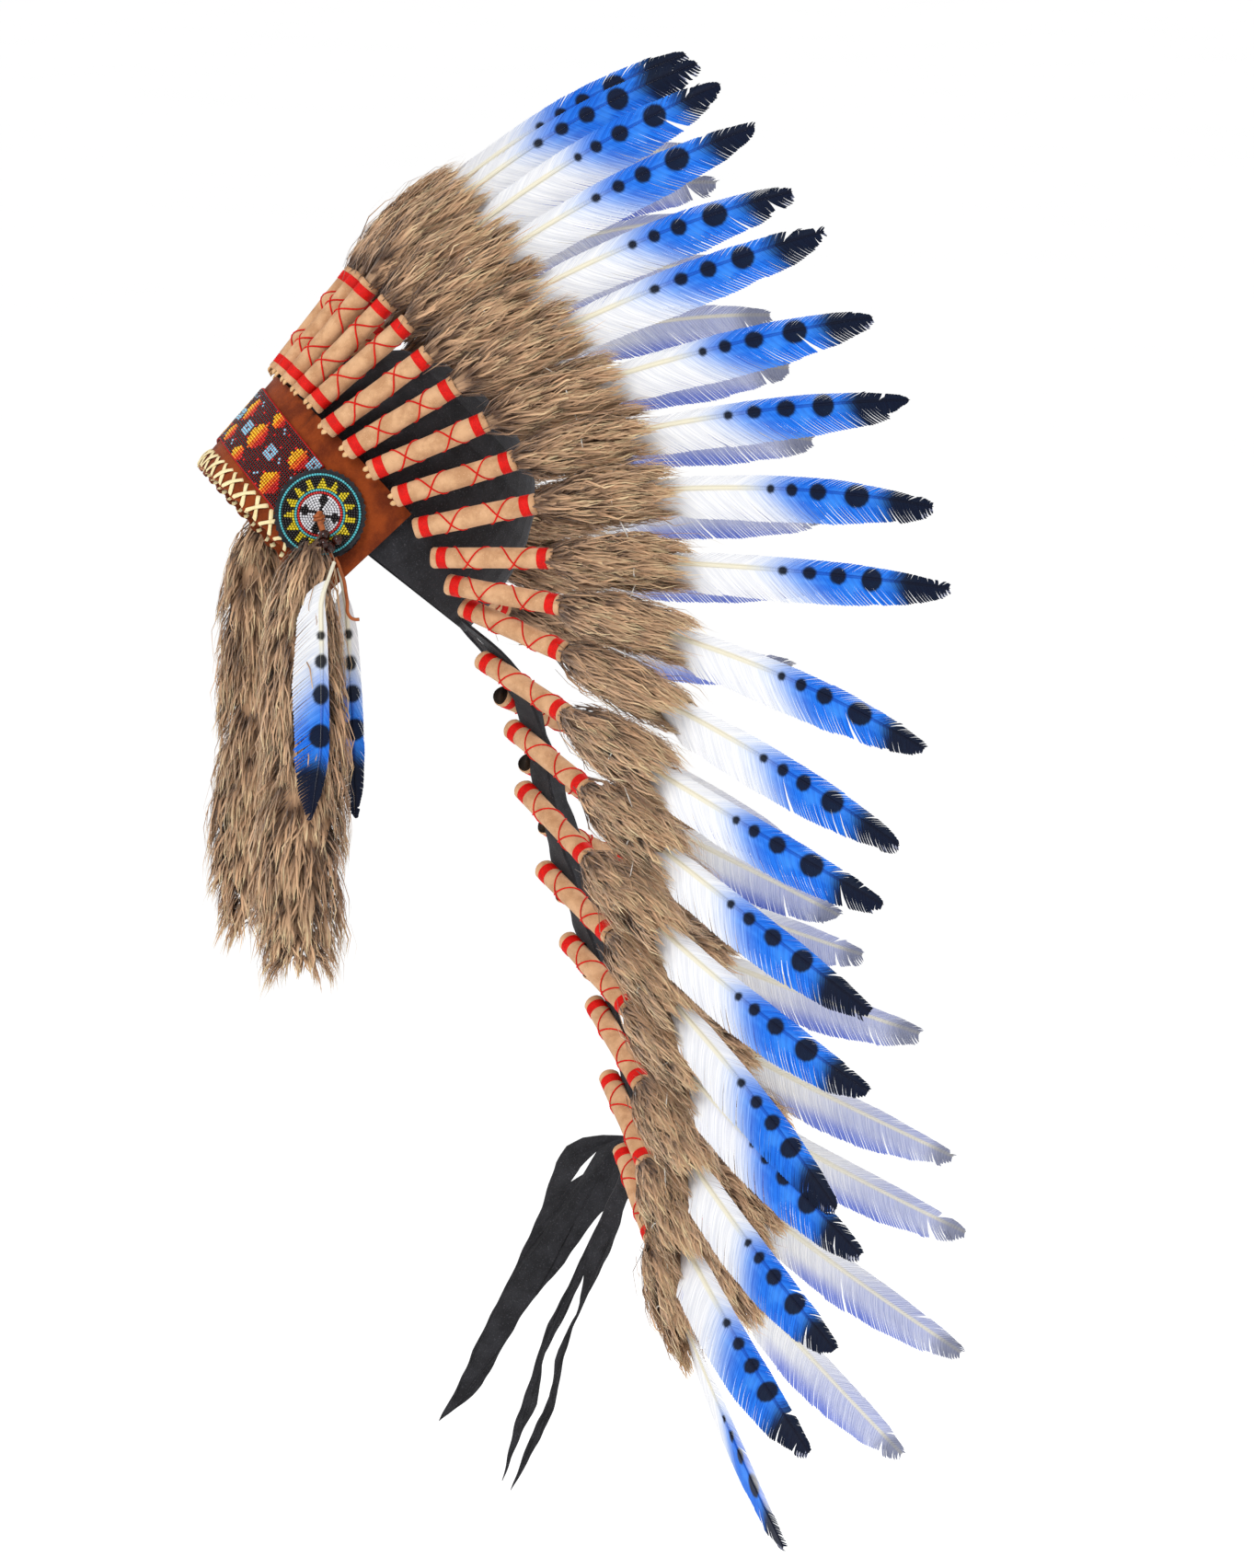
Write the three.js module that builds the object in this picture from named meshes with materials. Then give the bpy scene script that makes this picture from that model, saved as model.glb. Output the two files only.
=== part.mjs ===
// Feathered headdress with two feather trails, as worn. Millimetres, +Z up.
// The wearer looks along -Y and has +X on the left. The origin is the middle of the head opening.
import * as THREE from 'three';

// ---- driving dimensions ----
const HEAD_TILT = 47.6; // degrees that the brow end of the head plane is raised
const BAND_LENGTH_RADIUS = 107; // brow band, middle to brow
const BAND_WIDTH_RADIUS = 80; // brow band, middle to temple
const BAND_FLARE = 0.1; // the band opens upwards at the brow, mm per mm of height
const BAND_LOW = -29.6; // lower edge over the head plane
const BAND_TOP = 49; // upper edge
const BAND_REACH = 92; // degrees from the brow to each end
const LEATHER = 2; // thickness of the suede
const GAP = 0.3; // between pieces that touch

const CAP_LENGTH_RADIUS = 103;
const CAP_WIDTH_RADIUS = 76.5;
const CAP_HEIGHT = 143; // crown of the cap over the head plane
const CAP_ROUNDNESS = 2.6; // exponent of its profile
const CAP_WALL = 2;
const CAP_EDGE_BROW = -5; // lower edge at the brow
const CAP_EDGE_NAPE = 25; // lower edge at the nape

const STRIP_WIDTH = 43.5;
const STRIP_THICK = 1.9;
const STRIP_REACH = 58; // degrees from the brow to each end
const STRIP_HEIGHT = 15; // its middle at the brow
const STRIP_SLOPE = 0.15; // mm lower for each degree from the brow

const ROSETTE_PLACE = 69.5; // degrees from the brow
const ROSETTE_HEIGHT = 4.4;
const ROSETTE_STANDOFF = 1.4;
const ROSETTE_BACKING = { radius: 31, tooth: 1.2, teeth: 44, thick: 2 };
const ROSETTE_BEADS = { radius: 27.6, thick: 2 };

const SLEEVE_LENGTH = 86; // felt sleeve round the quill
const SLEEVE_RADIUS = 7;
const UNIT_LENGTH = 352; // sleeve foot to feather tip
const BEND_START = 60; // the quill is straight up to here
const BEND_MIDDLE = 0.545; // where the vane's mean direction falls in the bend

const RIBBON = { width: 29, thick: 2, lift: 8.9, wave: 2.5 }; // felt strip of a trail
const TRAIL_HEAD = { place: 150, height: 27, half: 7, standoff: 0.5 }; // where a trail strip is sewn to the cap
const TIE_THICK = 1.8;

// ---- frames ----
const vec = (x, y, z) => new THREE.Vector3(x, y, z);
const rad = THREE.MathUtils.degToRad;
const SIDE = vec(1, 0, 0);
const BACK = vec(0, Math.cos(rad(HEAD_TILT)), -Math.sin(rad(HEAD_TILT)));
const UP = vec(0, Math.sin(rad(HEAD_TILT)), Math.cos(rad(HEAD_TILT)));

// The direction of a unit: lean is its angle over the ground seen from the side, splay its angle outwards.
function direction(lean, splay) {
  const a = rad(lean);
  const b = rad(splay);
  return vec(Math.sin(b), Math.cos(b) * Math.cos(a), Math.cos(b) * Math.sin(a));
}

function combine(...terms) {
  const sum = vec(0, 0, 0);
  for (const [scale, axis] of terms) sum.addScaledVector(axis, scale);
  return sum;
}

// Outward direction of the band at a place round the head, in degrees from the brow, + to the left.
function bandNormal(place) {
  const front = BAND_WIDTH_RADIUS * Math.cos(rad(place));
  const side = BAND_LENGTH_RADIUS * Math.sin(rad(place));
  return combine([-front, BACK], [side, SIDE]).normalize();
}

// A point on the band's outer face, or off it by standoff.
function bandPoint(place, height, standoff = 0) {
  const c = Math.cos(rad(place));
  const length = BAND_LENGTH_RADIUS + BAND_FLARE * height * Math.max(0, c);
  const point = combine([-length * c, BACK], [BAND_WIDTH_RADIUS * Math.sin(rad(place)), SIDE], [height, UP]);
  return point.addScaledVector(bandNormal(place), standoff);
}

// ---- solids ----
// A closed solid through rings of points. Each ring has the same number of points; the ends are closed by fans.
function loft(rings, closed = false) {
  const count = rings[0].length;
  const positions = rings.flat().flatMap((p) => [p.x, p.y, p.z]);
  const faces = [];
  const steps = closed ? rings.length : rings.length - 1;
  for (let i = 0; i < steps; i += 1) {
    const a = i * count;
    const b = ((i + 1) % rings.length) * count;
    for (let j = 0; j < count; j += 1) {
      const k = (j + 1) % count;
      faces.push(a + j, a + k, b + k, a + j, b + k, b + j);
    }
  }
  if (!closed) {
    const last = (rings.length - 1) * count;
    for (let j = 1; j < count - 1; j += 1) {
      faces.push(0, j + 1, j);
      faces.push(last, last + j, last + j + 1);
    }
  }
  return outward(positions, faces);
}

// Turns the faces round if they point inwards.
function outward(positions, faces) {
  const at = (i) => vec(positions[3 * i], positions[3 * i + 1], positions[3 * i + 2]);
  let volume = 0;
  for (let i = 0; i < faces.length; i += 3) {
    volume += at(faces[i]).dot(at(faces[i + 1]).cross(at(faces[i + 2])));
  }
  if (volume < 0) faces.reverse();
  const geometry = new THREE.BufferGeometry();
  geometry.setAttribute('position', new THREE.Float32BufferAttribute(positions, 3));
  geometry.setIndex(faces);
  geometry.computeVertexNormals();
  return geometry;
}

function material(color, roughness, metalness = 0) {
  return new THREE.MeshStandardMaterial({ color, roughness, metalness });
}

const MATERIALS = {
  suede: material(0x8c3c16, 0.9),
  felt: material(0x2b2b2e, 0.95),
  beads: material(0x5a1512, 0.35),
  rosette: material(0x6fb7bd, 0.35),
  feather: material(0x2f66c8, 0.6),
  fur: material(0x96735a, 0.95),
  bead: material(0x2a120b, 0.15),
  thong: material(0x5c3018, 0.8),
};

const headdress = new THREE.Group();

function add(name, geometry, finish) {
  const mesh = new THREE.Mesh(geometry, finish);
  mesh.name = name;
  headdress.add(mesh);
  return mesh;
}

// ---- cap and band ----
function capRing(place, wall) {
  const c = Math.cos(rad(place));
  const low = CAP_EDGE_BROW + ((CAP_EDGE_NAPE - CAP_EDGE_BROW) * (1 - c)) / 2;
  return (share) => {
    const height = low + (CAP_HEIGHT - wall - low) * share;
    const rise = Math.min(1, Math.abs(height) / (CAP_HEIGHT - wall));
    const scale = (1 - rise ** CAP_ROUNDNESS) ** (1 / CAP_ROUNDNESS);
    const length = (CAP_LENGTH_RADIUS - wall) * scale;
    const width = (CAP_WIDTH_RADIUS - wall) * scale;
    return combine([-length * c, BACK], [width * Math.sin(rad(place)), SIDE], [height, UP]);
  };
}

function skullCap() {
  const shares = [0, 0.22, 0.42, 0.6, 0.75, 0.87, 0.95, 0.99];
  const count = 36;
  const positions = [];
  const faces = [];
  const rows = [...shares.map((s) => [s, 0]), ...shares.slice().reverse().map((s) => [s, CAP_WALL])];
  for (const [share, wall] of rows) {
    for (let j = 0; j < count; j += 1) {
      const p = capRing((360 * j) / count, wall)(share);
      positions.push(p.x, p.y, p.z);
    }
  }
  const ring = (row, j) => row * count + (j % count);
  for (let row = 0; row < rows.length; row += 1) {
    const next = (row + 1) % rows.length;
    if (row === shares.length - 1) continue;
    for (let j = 0; j < count; j += 1) {
      faces.push(ring(row, j), ring(row, j + 1), ring(next, j + 1));
      faces.push(ring(row, j), ring(next, j + 1), ring(next, j));
    }
  }
  const crowns = [[shares.length - 1, CAP_HEIGHT, false], [shares.length, CAP_HEIGHT - CAP_WALL, true]];
  for (const [row, height, inner] of crowns) {
    const top = positions.length / 3;
    const p = combine([height, UP]);
    positions.push(p.x, p.y, p.z);
    for (let j = 0; j < count; j += 1) {
      if (inner) faces.push(ring(row, j + 1), ring(row, j), top);
      else faces.push(ring(row, j), ring(row, j + 1), top);
    }
  }
  return outward(positions, faces);
}

// A strip of even thickness that follows the band, between two edges given as functions of the place.
function bandWall(reach, count, low, high, inner, outer) {
  const rings = [];
  for (let i = 0; i <= count; i += 1) {
    const place = -reach + (2 * reach * i) / count;
    const bottom = low(place);
    const top = high(place);
    rings.push([
      bandPoint(place, bottom, outer),
      bandPoint(place, top, outer),
      bandPoint(place, top, inner),
      bandPoint(place, bottom, inner),
    ]);
  }
  return loft(rings);
}

// The lacing pulls the lower edge of the suede into shallow scallops.
function bandLow(place) {
  return BAND_LOW + 1.2 * Math.cos(rad(place * 43));
}

function stripMiddle(place) {
  return STRIP_HEIGHT - STRIP_SLOPE * Math.abs(place);
}

function brow() {
  add('skull_cap', skullCap(), MATERIALS.felt);
  add('brow_band', bandWall(BAND_REACH, 110, bandLow, () => BAND_TOP, -LEATHER, 0), MATERIALS.suede);
  const low = (place) => stripMiddle(place) - STRIP_WIDTH / 2;
  const high = (place) => stripMiddle(place) + STRIP_WIDTH / 2;
  add('bead_strip', bandWall(STRIP_REACH, 36, low, high, GAP, GAP + STRIP_THICK), MATERIALS.beads);
}

// ---- rosettes ----
// A flat disc that lies against the band, lifted off it; teeth cut its edge.
function disc(side, lift, { radius, thick, tooth = 0, teeth = 24 }) {
  const normal = bandNormal(side * ROSETTE_PLACE);
  const across = vec(0, 0, 0).crossVectors(UP, normal);
  const centre = bandPoint(side * ROSETTE_PLACE, ROSETTE_HEIGHT, lift);
  const rings = [0, thick].map((out) => {
    const ring = [];
    for (let i = 0; i < 2 * teeth; i += 1) {
      const angle = (Math.PI * i) / teeth;
      const r = radius - (i % 2 ? tooth : 0);
      ring.push(combine([1, centre], [r * Math.cos(angle), across], [r * Math.sin(angle), UP], [out, normal]));
    }
    return ring;
  });
  return loft(rings);
}

function rosettes(side, word) {
  add(`rosette_backing_${word}`, disc(side, ROSETTE_STANDOFF, ROSETTE_BACKING), MATERIALS.felt);
  const lift = ROSETTE_STANDOFF + ROSETTE_BACKING.thick + GAP;
  add(`rosette_beads_${word}`, disc(side, lift, ROSETTE_BEADS), MATERIALS.rosette);
}

// ---- feather units ----
// place and height: sleeve foot round the head; standoff: sleeve axis off the band; lean and splay: direction
// of the sleeve; then the mean direction of the vane on each side; twist: turn of the vane about its quill.
const CROWN = [
  { place: 7.5, height: 51.5, standoff: 1, lean: 51, splay: 3, left: [34, 3], right: [30, 1], twist: 50 },
  { place: 18, height: 51.5, standoff: 1, lean: 51, splay: 6, left: [34, 5], right: [26, 3], twist: 52 },
  { place: 28, height: 51, standoff: 2, lean: 46.5, splay: 8, left: [33.5, 7], right: [20, 7], twist: 46 },
  { place: 38, height: 51, standoff: 4, lean: 42, splay: 10, left: [30, 9], right: [17, 11], twist: 38 },
  { place: 50, height: 46, standoff: 8, lean: 37.5, splay: 11, left: [24.5, 9], right: [15, 13], twist: 26 },
  { place: 60.5, height: 46, standoff: 8, lean: 32.5, splay: 13, left: [23, 9], right: [12, 15], twist: 14 },
  { place: 71, height: 48, standoff: 8, lean: 24.5, splay: 15, left: [15.5, 10], right: [9, 17], twist: 4 },
  { place: 83, height: 48, standoff: 8, lean: 19, splay: 18, left: [9, 11], right: [6, 19], twist: -4 },
  { place: 95.5, height: 44, standoff: 8, lean: 14, splay: 24, left: [0, 13], right: [1, 17], twist: -14 },
  { place: 107.5, height: 39.5, standoff: 8, lean: 2, splay: 29, left: [-3.5, 18], right: [-2.5, 17], twist: -26 },
  { place: 119.5, height: 35, standoff: 8, lean: -8, splay: 36, left: [-21, 25], right: [-6, 16], twist: -44 },
  { place: 132.5, height: 33, standoff: 8, lean: -23, splay: 41, left: [-30, 29], right: [-15, 27], twist: -56 },
];

// out, back, up: sleeve foot; lean and splay: its direction; vane: mean direction of the vane.
const TRAIL_LEFT = [
  { out: 50, back: 91, up: -72, lean: -33, splay: 50, vane: [-31, 36], twist: -34 },
  { out: 48, back: 111, up: -119, lean: -40, splay: 52, vane: [-39, 40], twist: -38 },
  { out: 47, back: 119, up: -160, lean: -50, splay: 53, vane: [-41, 38], twist: -32 },
  { out: 47, back: 133, up: -215, lean: -47, splay: 54, vane: [-53, 42], twist: -50 },
  { out: 48, back: 149, up: -264, lean: -51, splay: 55, vane: [-49, 48], twist: -50 },
  { out: 50, back: 167, up: -307, lean: -66, splay: 54, vane: [-58, 50], twist: -54 },
  { out: 52, back: 177, up: -357, lean: -75, splay: 53, vane: [-66, 49], twist: -56 },
  { out: 54, back: 186, up: -407, lean: -80, splay: 53, vane: [-74, 48], twist: -4 },
];
const TRAIL_RIGHT = [
  { out: 50, back: 121, up: -110, lean: -26, splay: 36, vane: [-32, 29], twist: -40 },
  { out: 48, back: 138, up: -156, lean: -28, splay: 36, vane: [-29, 32], twist: -34 },
  { out: 47, back: 151, up: -199, lean: -29, splay: 36, vane: [-25, 33], twist: -26 },
  { out: 47, back: 163, up: -246, lean: -28, splay: 34, vane: [-24, 24], twist: -18 },
  { out: 48, back: 182, up: -300, lean: -32, splay: 32, vane: [-29, 17], twist: -14 },
  { out: 50, back: 203, up: -346, lean: -36, splay: 32, vane: [-31, 19], twist: -16 },
  { out: 52, back: 215, up: -395, lean: -42, splay: 32, vane: [-38, 15], twist: -12 },
  { out: 54, back: 223, up: -440, lean: -50, splay: 32, vane: [-48, 22], twist: -30 },
];

// Half sizes of a unit along its length: towards the unit before it, towards the unit after it, and its
// thickness. flat: 0 where the section is round like the sleeve and 1 where it is turned with the vane.
const SECTIONS = [
  { along: 0, before: 7, after: 7, thick: 7, flat: 0 },
  { along: 86, before: 7, after: 7, thick: 7, flat: 0 },
  { along: 89, before: 9, after: 9, thick: 9, flat: 0 },
  { along: 105, before: 15, after: 15, thick: 13, flat: 0 },
  { along: 130, before: 19, after: 20, thick: 15, flat: 0 },
  { along: 155, before: 18, after: 20, thick: 13, flat: 0.2 },
  { along: 175, before: 14, after: 18, thick: 8, flat: 0.6 },
  { along: 190, before: 10, after: 17, thick: 3, flat: 1 },
  { along: 205, before: 9, after: 21, thick: 1.3, flat: 1 },
  { along: 240, before: 11, after: 26, thick: 1.2, flat: 1 },
  { along: 285, before: 11, after: 24, thick: 1.1, flat: 1 },
  { along: 325, before: 9, after: 17, thick: 1, flat: 1 },
  { along: 345, before: 5, after: 9, thick: 0.9, flat: 1 },
  { along: UNIT_LENGTH, before: 1.5, after: 2.5, thick: 0.8, flat: 1 },
];
const SECTION_SIDES = 8;
const TRACE_STEP = 4;

// The line of a unit's quill: straight through the sleeve, then bending evenly to the tip.
function trace(unit) {
  const points = [unit.foot.clone()];
  for (let s = 0; s < UNIT_LENGTH; s += TRACE_STEP) {
    const heading = headingAt(unit, s + TRACE_STEP / 2);
    points.push(points.at(-1).clone().addScaledVector(heading, TRACE_STEP));
  }
  return points;
}

function headingAt(unit, along) {
  const share = Math.max(0, (along - BEND_START) / (UNIT_LENGTH - BEND_START)) / BEND_MIDDLE;
  const lean = unit.lean + (unit.vane[0] - unit.lean) * share;
  const splay = unit.splay + (unit.vane[1] - unit.splay) * share;
  const heading = direction(lean, splay);
  heading.x *= unit.side;
  return heading;
}

function pointAt(unit, along) {
  const step = Math.min(along / TRACE_STEP, unit.line.length - 1.001);
  const i = Math.floor(step);
  return unit.line[i].clone().lerp(unit.line[i + 1], step - i);
}

// Across points from this unit to the next one in its row, face is the side that shows the spots.
function axesAt(unit, along, twist) {
  const heading = headingAt(unit, along);
  const across = unit.next.clone().addScaledVector(heading, -unit.next.dot(heading)).normalize();
  const face = vec(0, 0, 0).crossVectors(across, heading).multiplyScalar(unit.side);
  const turn = rad(twist) * unit.side;
  across.applyAxisAngle(heading, turn);
  face.applyAxisAngle(heading, turn);
  return { heading, across, face };
}

function crownUnits(side) {
  return CROWN.map((row, i) => {
    const foot = bandPoint(side * row.place, row.height, row.standoff);
    const vane = side > 0 ? row.left : row.right;
    return { ...row, side, foot, vane, name: `feather_${side > 0 ? 'l' : 'r'}${String(i + 1).padStart(2, '0')}` };
  });
}

function trailUnits(side) {
  const rows = side > 0 ? TRAIL_LEFT : TRAIL_RIGHT;
  return rows.map((row, i) => {
    const foot = vec(side * row.out, row.back, row.up);
    return { ...row, side, foot, name: `trail_feather_${side > 0 ? 'l' : 'r'}${i + 1}` };
  });
}

// Gives each unit of a row the direction to the next one and its line.
function linked(units) {
  units.forEach((unit, i) => {
    const from = units[Math.max(0, i - 1)].foot;
    const to = units[Math.min(units.length - 1, i + 1)].foot;
    unit.next = to.clone().sub(from).normalize();
  });
  for (const unit of units) unit.line = trace(unit);
  return units;
}

// Half the free space round a point, so that neighbours never meet.
function room(unit, point, all) {
  let nearest = Infinity;
  for (const other of all) {
    if (other === unit) continue;
    for (const p of other.line) nearest = Math.min(nearest, p.distanceTo(point));
  }
  return nearest / 2 - 2 * GAP;
}

function unitSolid(unit, all) {
  const rings = SECTIONS.map(({ along, before, after, thick, flat }) => {
    const point = pointAt(unit, along);
    const { across, face } = axesAt(unit, along, unit.twist * flat);
    const free = along > SLEEVE_LENGTH ? room(unit, point, all) : Infinity;
    const ring = [];
    for (let i = 0; i < SECTION_SIDES; i += 1) {
      const angle = (2 * Math.PI * i) / SECTION_SIDES;
      const x = Math.cos(angle);
      const wide = Math.min(free, x < 0 ? before : after) * x;
      ring.push(combine([1, point], [wide, across], [Math.min(free, thick) * Math.sin(angle), face]));
    }
    return ring;
  });
  return loft(rings);
}

// ---- trail strips and ties ----
// The felt strip lies behind the sleeves of its trail, lengthways down the row and across along the sleeves.
function ribbonStations(units) {
  const stations = units.map((unit) => {
    const { heading, face } = axesAt(unit, 0, 0);
    const middle = unit.foot.clone().addScaledVector(heading, RIBBON.width / 2 - 1);
    middle.addScaledVector(face, -RIBBON.lift);
    return { middle, heading, face };
  });
  const start = capSeam(units[0].side);
  const last = stations.at(-1);
  const end = { ...last, middle: last.middle.clone().addScaledVector(units.at(-1).next, 16) };
  return [start, ...stations, end];
}

// The strip starts edge on against the outside of the cap, just over its lower edge at the nape.
function capSeam(side) {
  const { place, height, standoff } = TRAIL_HEAD;
  const scale = (1 - (height / CAP_HEIGHT) ** CAP_ROUNDNESS) ** (1 / CAP_ROUNDNESS);
  const [length, width] = [CAP_LENGTH_RADIUS * scale, CAP_WIDTH_RADIUS * scale];
  const [c, s] = [Math.cos(rad(place)), Math.sin(rad(place))];
  const normal = combine([-width * c, BACK], [side * length * s, SIDE]).normalize();
  const heading = combine([-length * s, BACK], [-side * width * c, SIDE]).normalize();
  const middle = combine([-length * c, BACK], [side * width * s, SIDE], [height, UP], [standoff, normal]);
  return { middle, heading, face: UP.clone().negate() };
}

function ribbon(units) {
  const stations = ribbonStations(units);
  const middles = new THREE.CatmullRomCurve3(stations.map((s) => s.middle), false, 'centripetal');
  const rings = [];
  const perStation = 6;
  const count = (stations.length - 1) * perStation;
  for (let i = 0; i <= count; i += 1) {
    const at = i / perStation;
    const k = Math.min(Math.floor(at), stations.length - 2);
    const heading = stations[k].heading.clone().lerp(stations[k + 1].heading, at - k).normalize();
    const face = stations[k].face.clone().lerp(stations[k + 1].face, at - k).normalize();
    const middle = middles.getPoint(i / count);
    const full = RIBBON.width / 2 + RIBBON.wave * (Math.cos(2 * Math.PI * at) - 1);
    const half = at < 1 ? TRAIL_HEAD.half + (RIBBON.width / 2 - TRAIL_HEAD.half) * at : full;
    const t = RIBBON.thick / 2;
    rings.push([
      combine([1, middle], [half, heading], [t, face]),
      combine([1, middle], [half, heading], [-t, face]),
      combine([1, middle], [-half, heading], [-t, face]),
      combine([1, middle], [-half, heading], [t, face]),
    ]);
  }
  return loft(rings);
}

// ---- ties ----
// Each tie is a flat felt tail with its outline in back and up, in millimetres.
const TIE_LEFT = {
  front: [[194.5, -405.5], [179, -445], [153, -500], [136, -533], [126, -565], [115, -596], [106, -636]],
  slitFront: [[118, -606], [130, -582], [135, -550], [148, -526], [162, -495]],
  slitBack: [[158, -520], [144, -548], [139, -577], [123, -612], [112, -643]],
  back: [[126, -618], [141, -588], [150, -546], [163, -513], [181, -477], [196, -421]],
  bend: { out: 38, reach: 12.6, from: 172, over: 23 },
};
const TIE_RIGHT = {
  front: [[229, -440], [207, -414], [162, -416], [142, -463], [120, -510], [99, -550], [89, -573], [72, -605]],
  back: [[99, -584], [117, -554], [134, -527], [159, -498], [190, -460], [231.5, -456]],
  bend: { out: 20, reach: 23, from: 176, over: 50 },
};
const TIE_SLIT = [[183, -420], [170, -432], [163, -443], [172, -437]];

function smoothEdge(shape, points) {
  shape.splineThru(points.map(([x, y]) => new THREE.Vector2(x, y)));
}

// The tail hangs in a plane and turns outwards at its back, to the foot of its trail strip.
function tie(side, outline, hole) {
  const shape = new THREE.Shape();
  shape.moveTo(...outline.front[0]);
  smoothEdge(shape, outline.front.slice(1));
  if (outline.slitFront) {
    smoothEdge(shape, outline.slitFront);
    smoothEdge(shape, outline.slitBack);
  }
  smoothEdge(shape, outline.back);
  shape.closePath();
  if (hole) shape.holes.push(new THREE.Path().setFromPoints(hole.map(([x, y]) => new THREE.Vector2(x, y))));
  const flat = new THREE.ExtrudeGeometry(shape, { depth: TIE_THICK, bevelEnabled: false, curveSegments: 3 });
  const at = flat.getAttribute('position');
  const { out, reach, from, over } = outline.bend;
  for (let i = 0; i < at.count; i += 1) {
    const [back, up, deep] = [at.getX(i), at.getY(i), at.getZ(i)];
    const share = Math.max(0, (back - from) / over);
    at.setXYZ(i, side * (out + reach * share * share) + deep, back, up);
  }
  flat.computeVertexNormals();
  return flat;
}

// ---- side drops ----
// Rows down the drop: out, back and up of the middle, half its width fore and aft, half its thickness.
const DROP_FUR = [
  { out: 97, back: -30, up: 14, half: 7, deep: 6 },
  { out: 98, back: -39, up: -12, half: 17, deep: 12 },
  { out: 98, back: -39, up: -49, half: 25, deep: 13 },
  { out: 98, back: -36, up: -103, half: 27, deep: 13 },
  { out: 98, back: -38, up: -158, half: 28, deep: 13 },
  { out: 98, back: -42, up: -206, half: 29, deep: 13 },
  { out: 98, back: -43, up: -242, half: 29, deep: 13 },
  { out: 98, back: -38, up: -268, half: 22, deep: 11 },
  { out: 98, back: -27, up: -286, half: 8, deep: 6 },
];
const DROP_FEATHER_FRONT = [
  { out: 102, back: -17, up: 2, half: 1.4, deep: 1.2 },
  { out: 113, back: -25, up: -14, half: 3, deep: 1 },
  { out: 113.5, back: -29, up: -24, half: 10, deep: 1 },
  { out: 114, back: -30, up: -52, half: 14, deep: 1 },
  { out: 114, back: -30, up: -90, half: 15, deep: 1 },
  { out: 114, back: -31, up: -122, half: 13, deep: 1 },
  { out: 114, back: -33, up: -148, half: 8, deep: 1 },
  { out: 114, back: -35, up: -168, half: 1.5, deep: 0.8 },
];
const DROP_FEATHER_BACK = [
  { out: 82.5, back: -11, up: -4, half: 1.4, deep: 1.2 },
  { out: 82.5, back: -8, up: -18, half: 3, deep: 1 },
  { out: 82.5, back: -6, up: -30, half: 9, deep: 1 },
  { out: 82.5, back: -4, up: -62, half: 12, deep: 1 },
  { out: 82.5, back: -2, up: -99, half: 13, deep: 1 },
  { out: 82.5, back: -1, up: -130, half: 11, deep: 1 },
  { out: 82.5, back: 0, up: -155, half: 7, deep: 1 },
  { out: 82.5, back: 0, up: -173, half: 1.5, deep: 0.8 },
];

function dropSolid(side, rows, sides = 12) {
  const rings = rows.map(({ out, back, up, half, deep }) => {
    const ring = [];
    for (let i = 0; i < sides; i += 1) {
      const angle = (2 * Math.PI * i) / sides;
      ring.push(vec(side * (out + deep * Math.sin(angle)), back + half * Math.cos(angle), up));
    }
    return ring;
  });
  return loft(rings);
}

// Knot and beads on their thong: where they lie along it, and their radius.
const BEAD_STRING = {
  from: { out: 85.6, back: -25, up: 31.5 },
  to: { out: 92.5, back: -17, up: 5 },
  profile: [
    { at: 0, radius: 2 }, { at: 2, radius: 3.8 }, { at: 5, radius: 3.8 }, { at: 7.5, radius: 1.4 },
    { at: 9.5, radius: 3.2 }, { at: 12, radius: 4.1 }, { at: 14.5, radius: 3.2 }, { at: 16, radius: 1.6 },
    { at: 17.5, radius: 3.2 }, { at: 20, radius: 4.1 }, { at: 22.5, radius: 3.2 }, { at: 24, radius: 1.6 },
    { at: 28, radius: 1.2 },
  ],
};

function beadString(side) {
  const { from, to, profile } = BEAD_STRING;
  const start = vec(side * from.out, from.back, from.up);
  const along = vec(side * to.out, to.back, to.up).sub(start).normalize();
  const across = vec(0, 0, 0).crossVectors(along, SIDE).normalize();
  const third = vec(0, 0, 0).crossVectors(along, across);
  const rings = profile.map(({ at, radius }) => {
    const ring = [];
    for (let i = 0; i < 10; i += 1) {
      const angle = (2 * Math.PI * i) / 10;
      ring.push(
        combine([1, start], [at, along], [radius * Math.cos(angle), across], [radius * Math.sin(angle), third]),
      );
    }
    return ring;
  });
  return loft(rings);
}

// The loose end of the left thong: out, back, up down its length.
const THONG = { radius: 1.2, steps: 26 };
const THONG_ROUTE = [
  [93, -15, 4], [94, -13, 0], [94, -11, -6], [94, -9, -12], [94, -8, -19], [94, -7, -26],
  [94, -7, -32], [94, -5, -36], [94, -2, -37.5], [94, 1, -37.5],
];

function thongTail() {
  const route = new THREE.CatmullRomCurve3(THONG_ROUTE.map((p) => vec(...p)));
  const section = new THREE.Shape();
  for (let i = 0; i < 8; i += 1) {
    const angle = (Math.PI * i) / 4;
    const point = [THONG.radius * Math.cos(angle), THONG.radius * Math.sin(angle)];
    if (i) section.lineTo(...point);
    else section.moveTo(...point);
  }
  section.closePath();
  return new THREE.ExtrudeGeometry(section, { steps: THONG.steps, extrudePath: route, bevelEnabled: false });
}

function drops(side, word) {
  add(`drop_fur_${word}`, dropSolid(side, DROP_FUR), MATERIALS.fur);
  add(`drop_feather_front_${word}`, dropSolid(side, DROP_FEATHER_FRONT, 8), MATERIALS.feather);
  add(`drop_feather_back_${word}`, dropSolid(side, DROP_FEATHER_BACK, 8), MATERIALS.feather);
  add(`drop_beads_${word}`, beadString(side), MATERIALS.bead);
}

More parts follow.
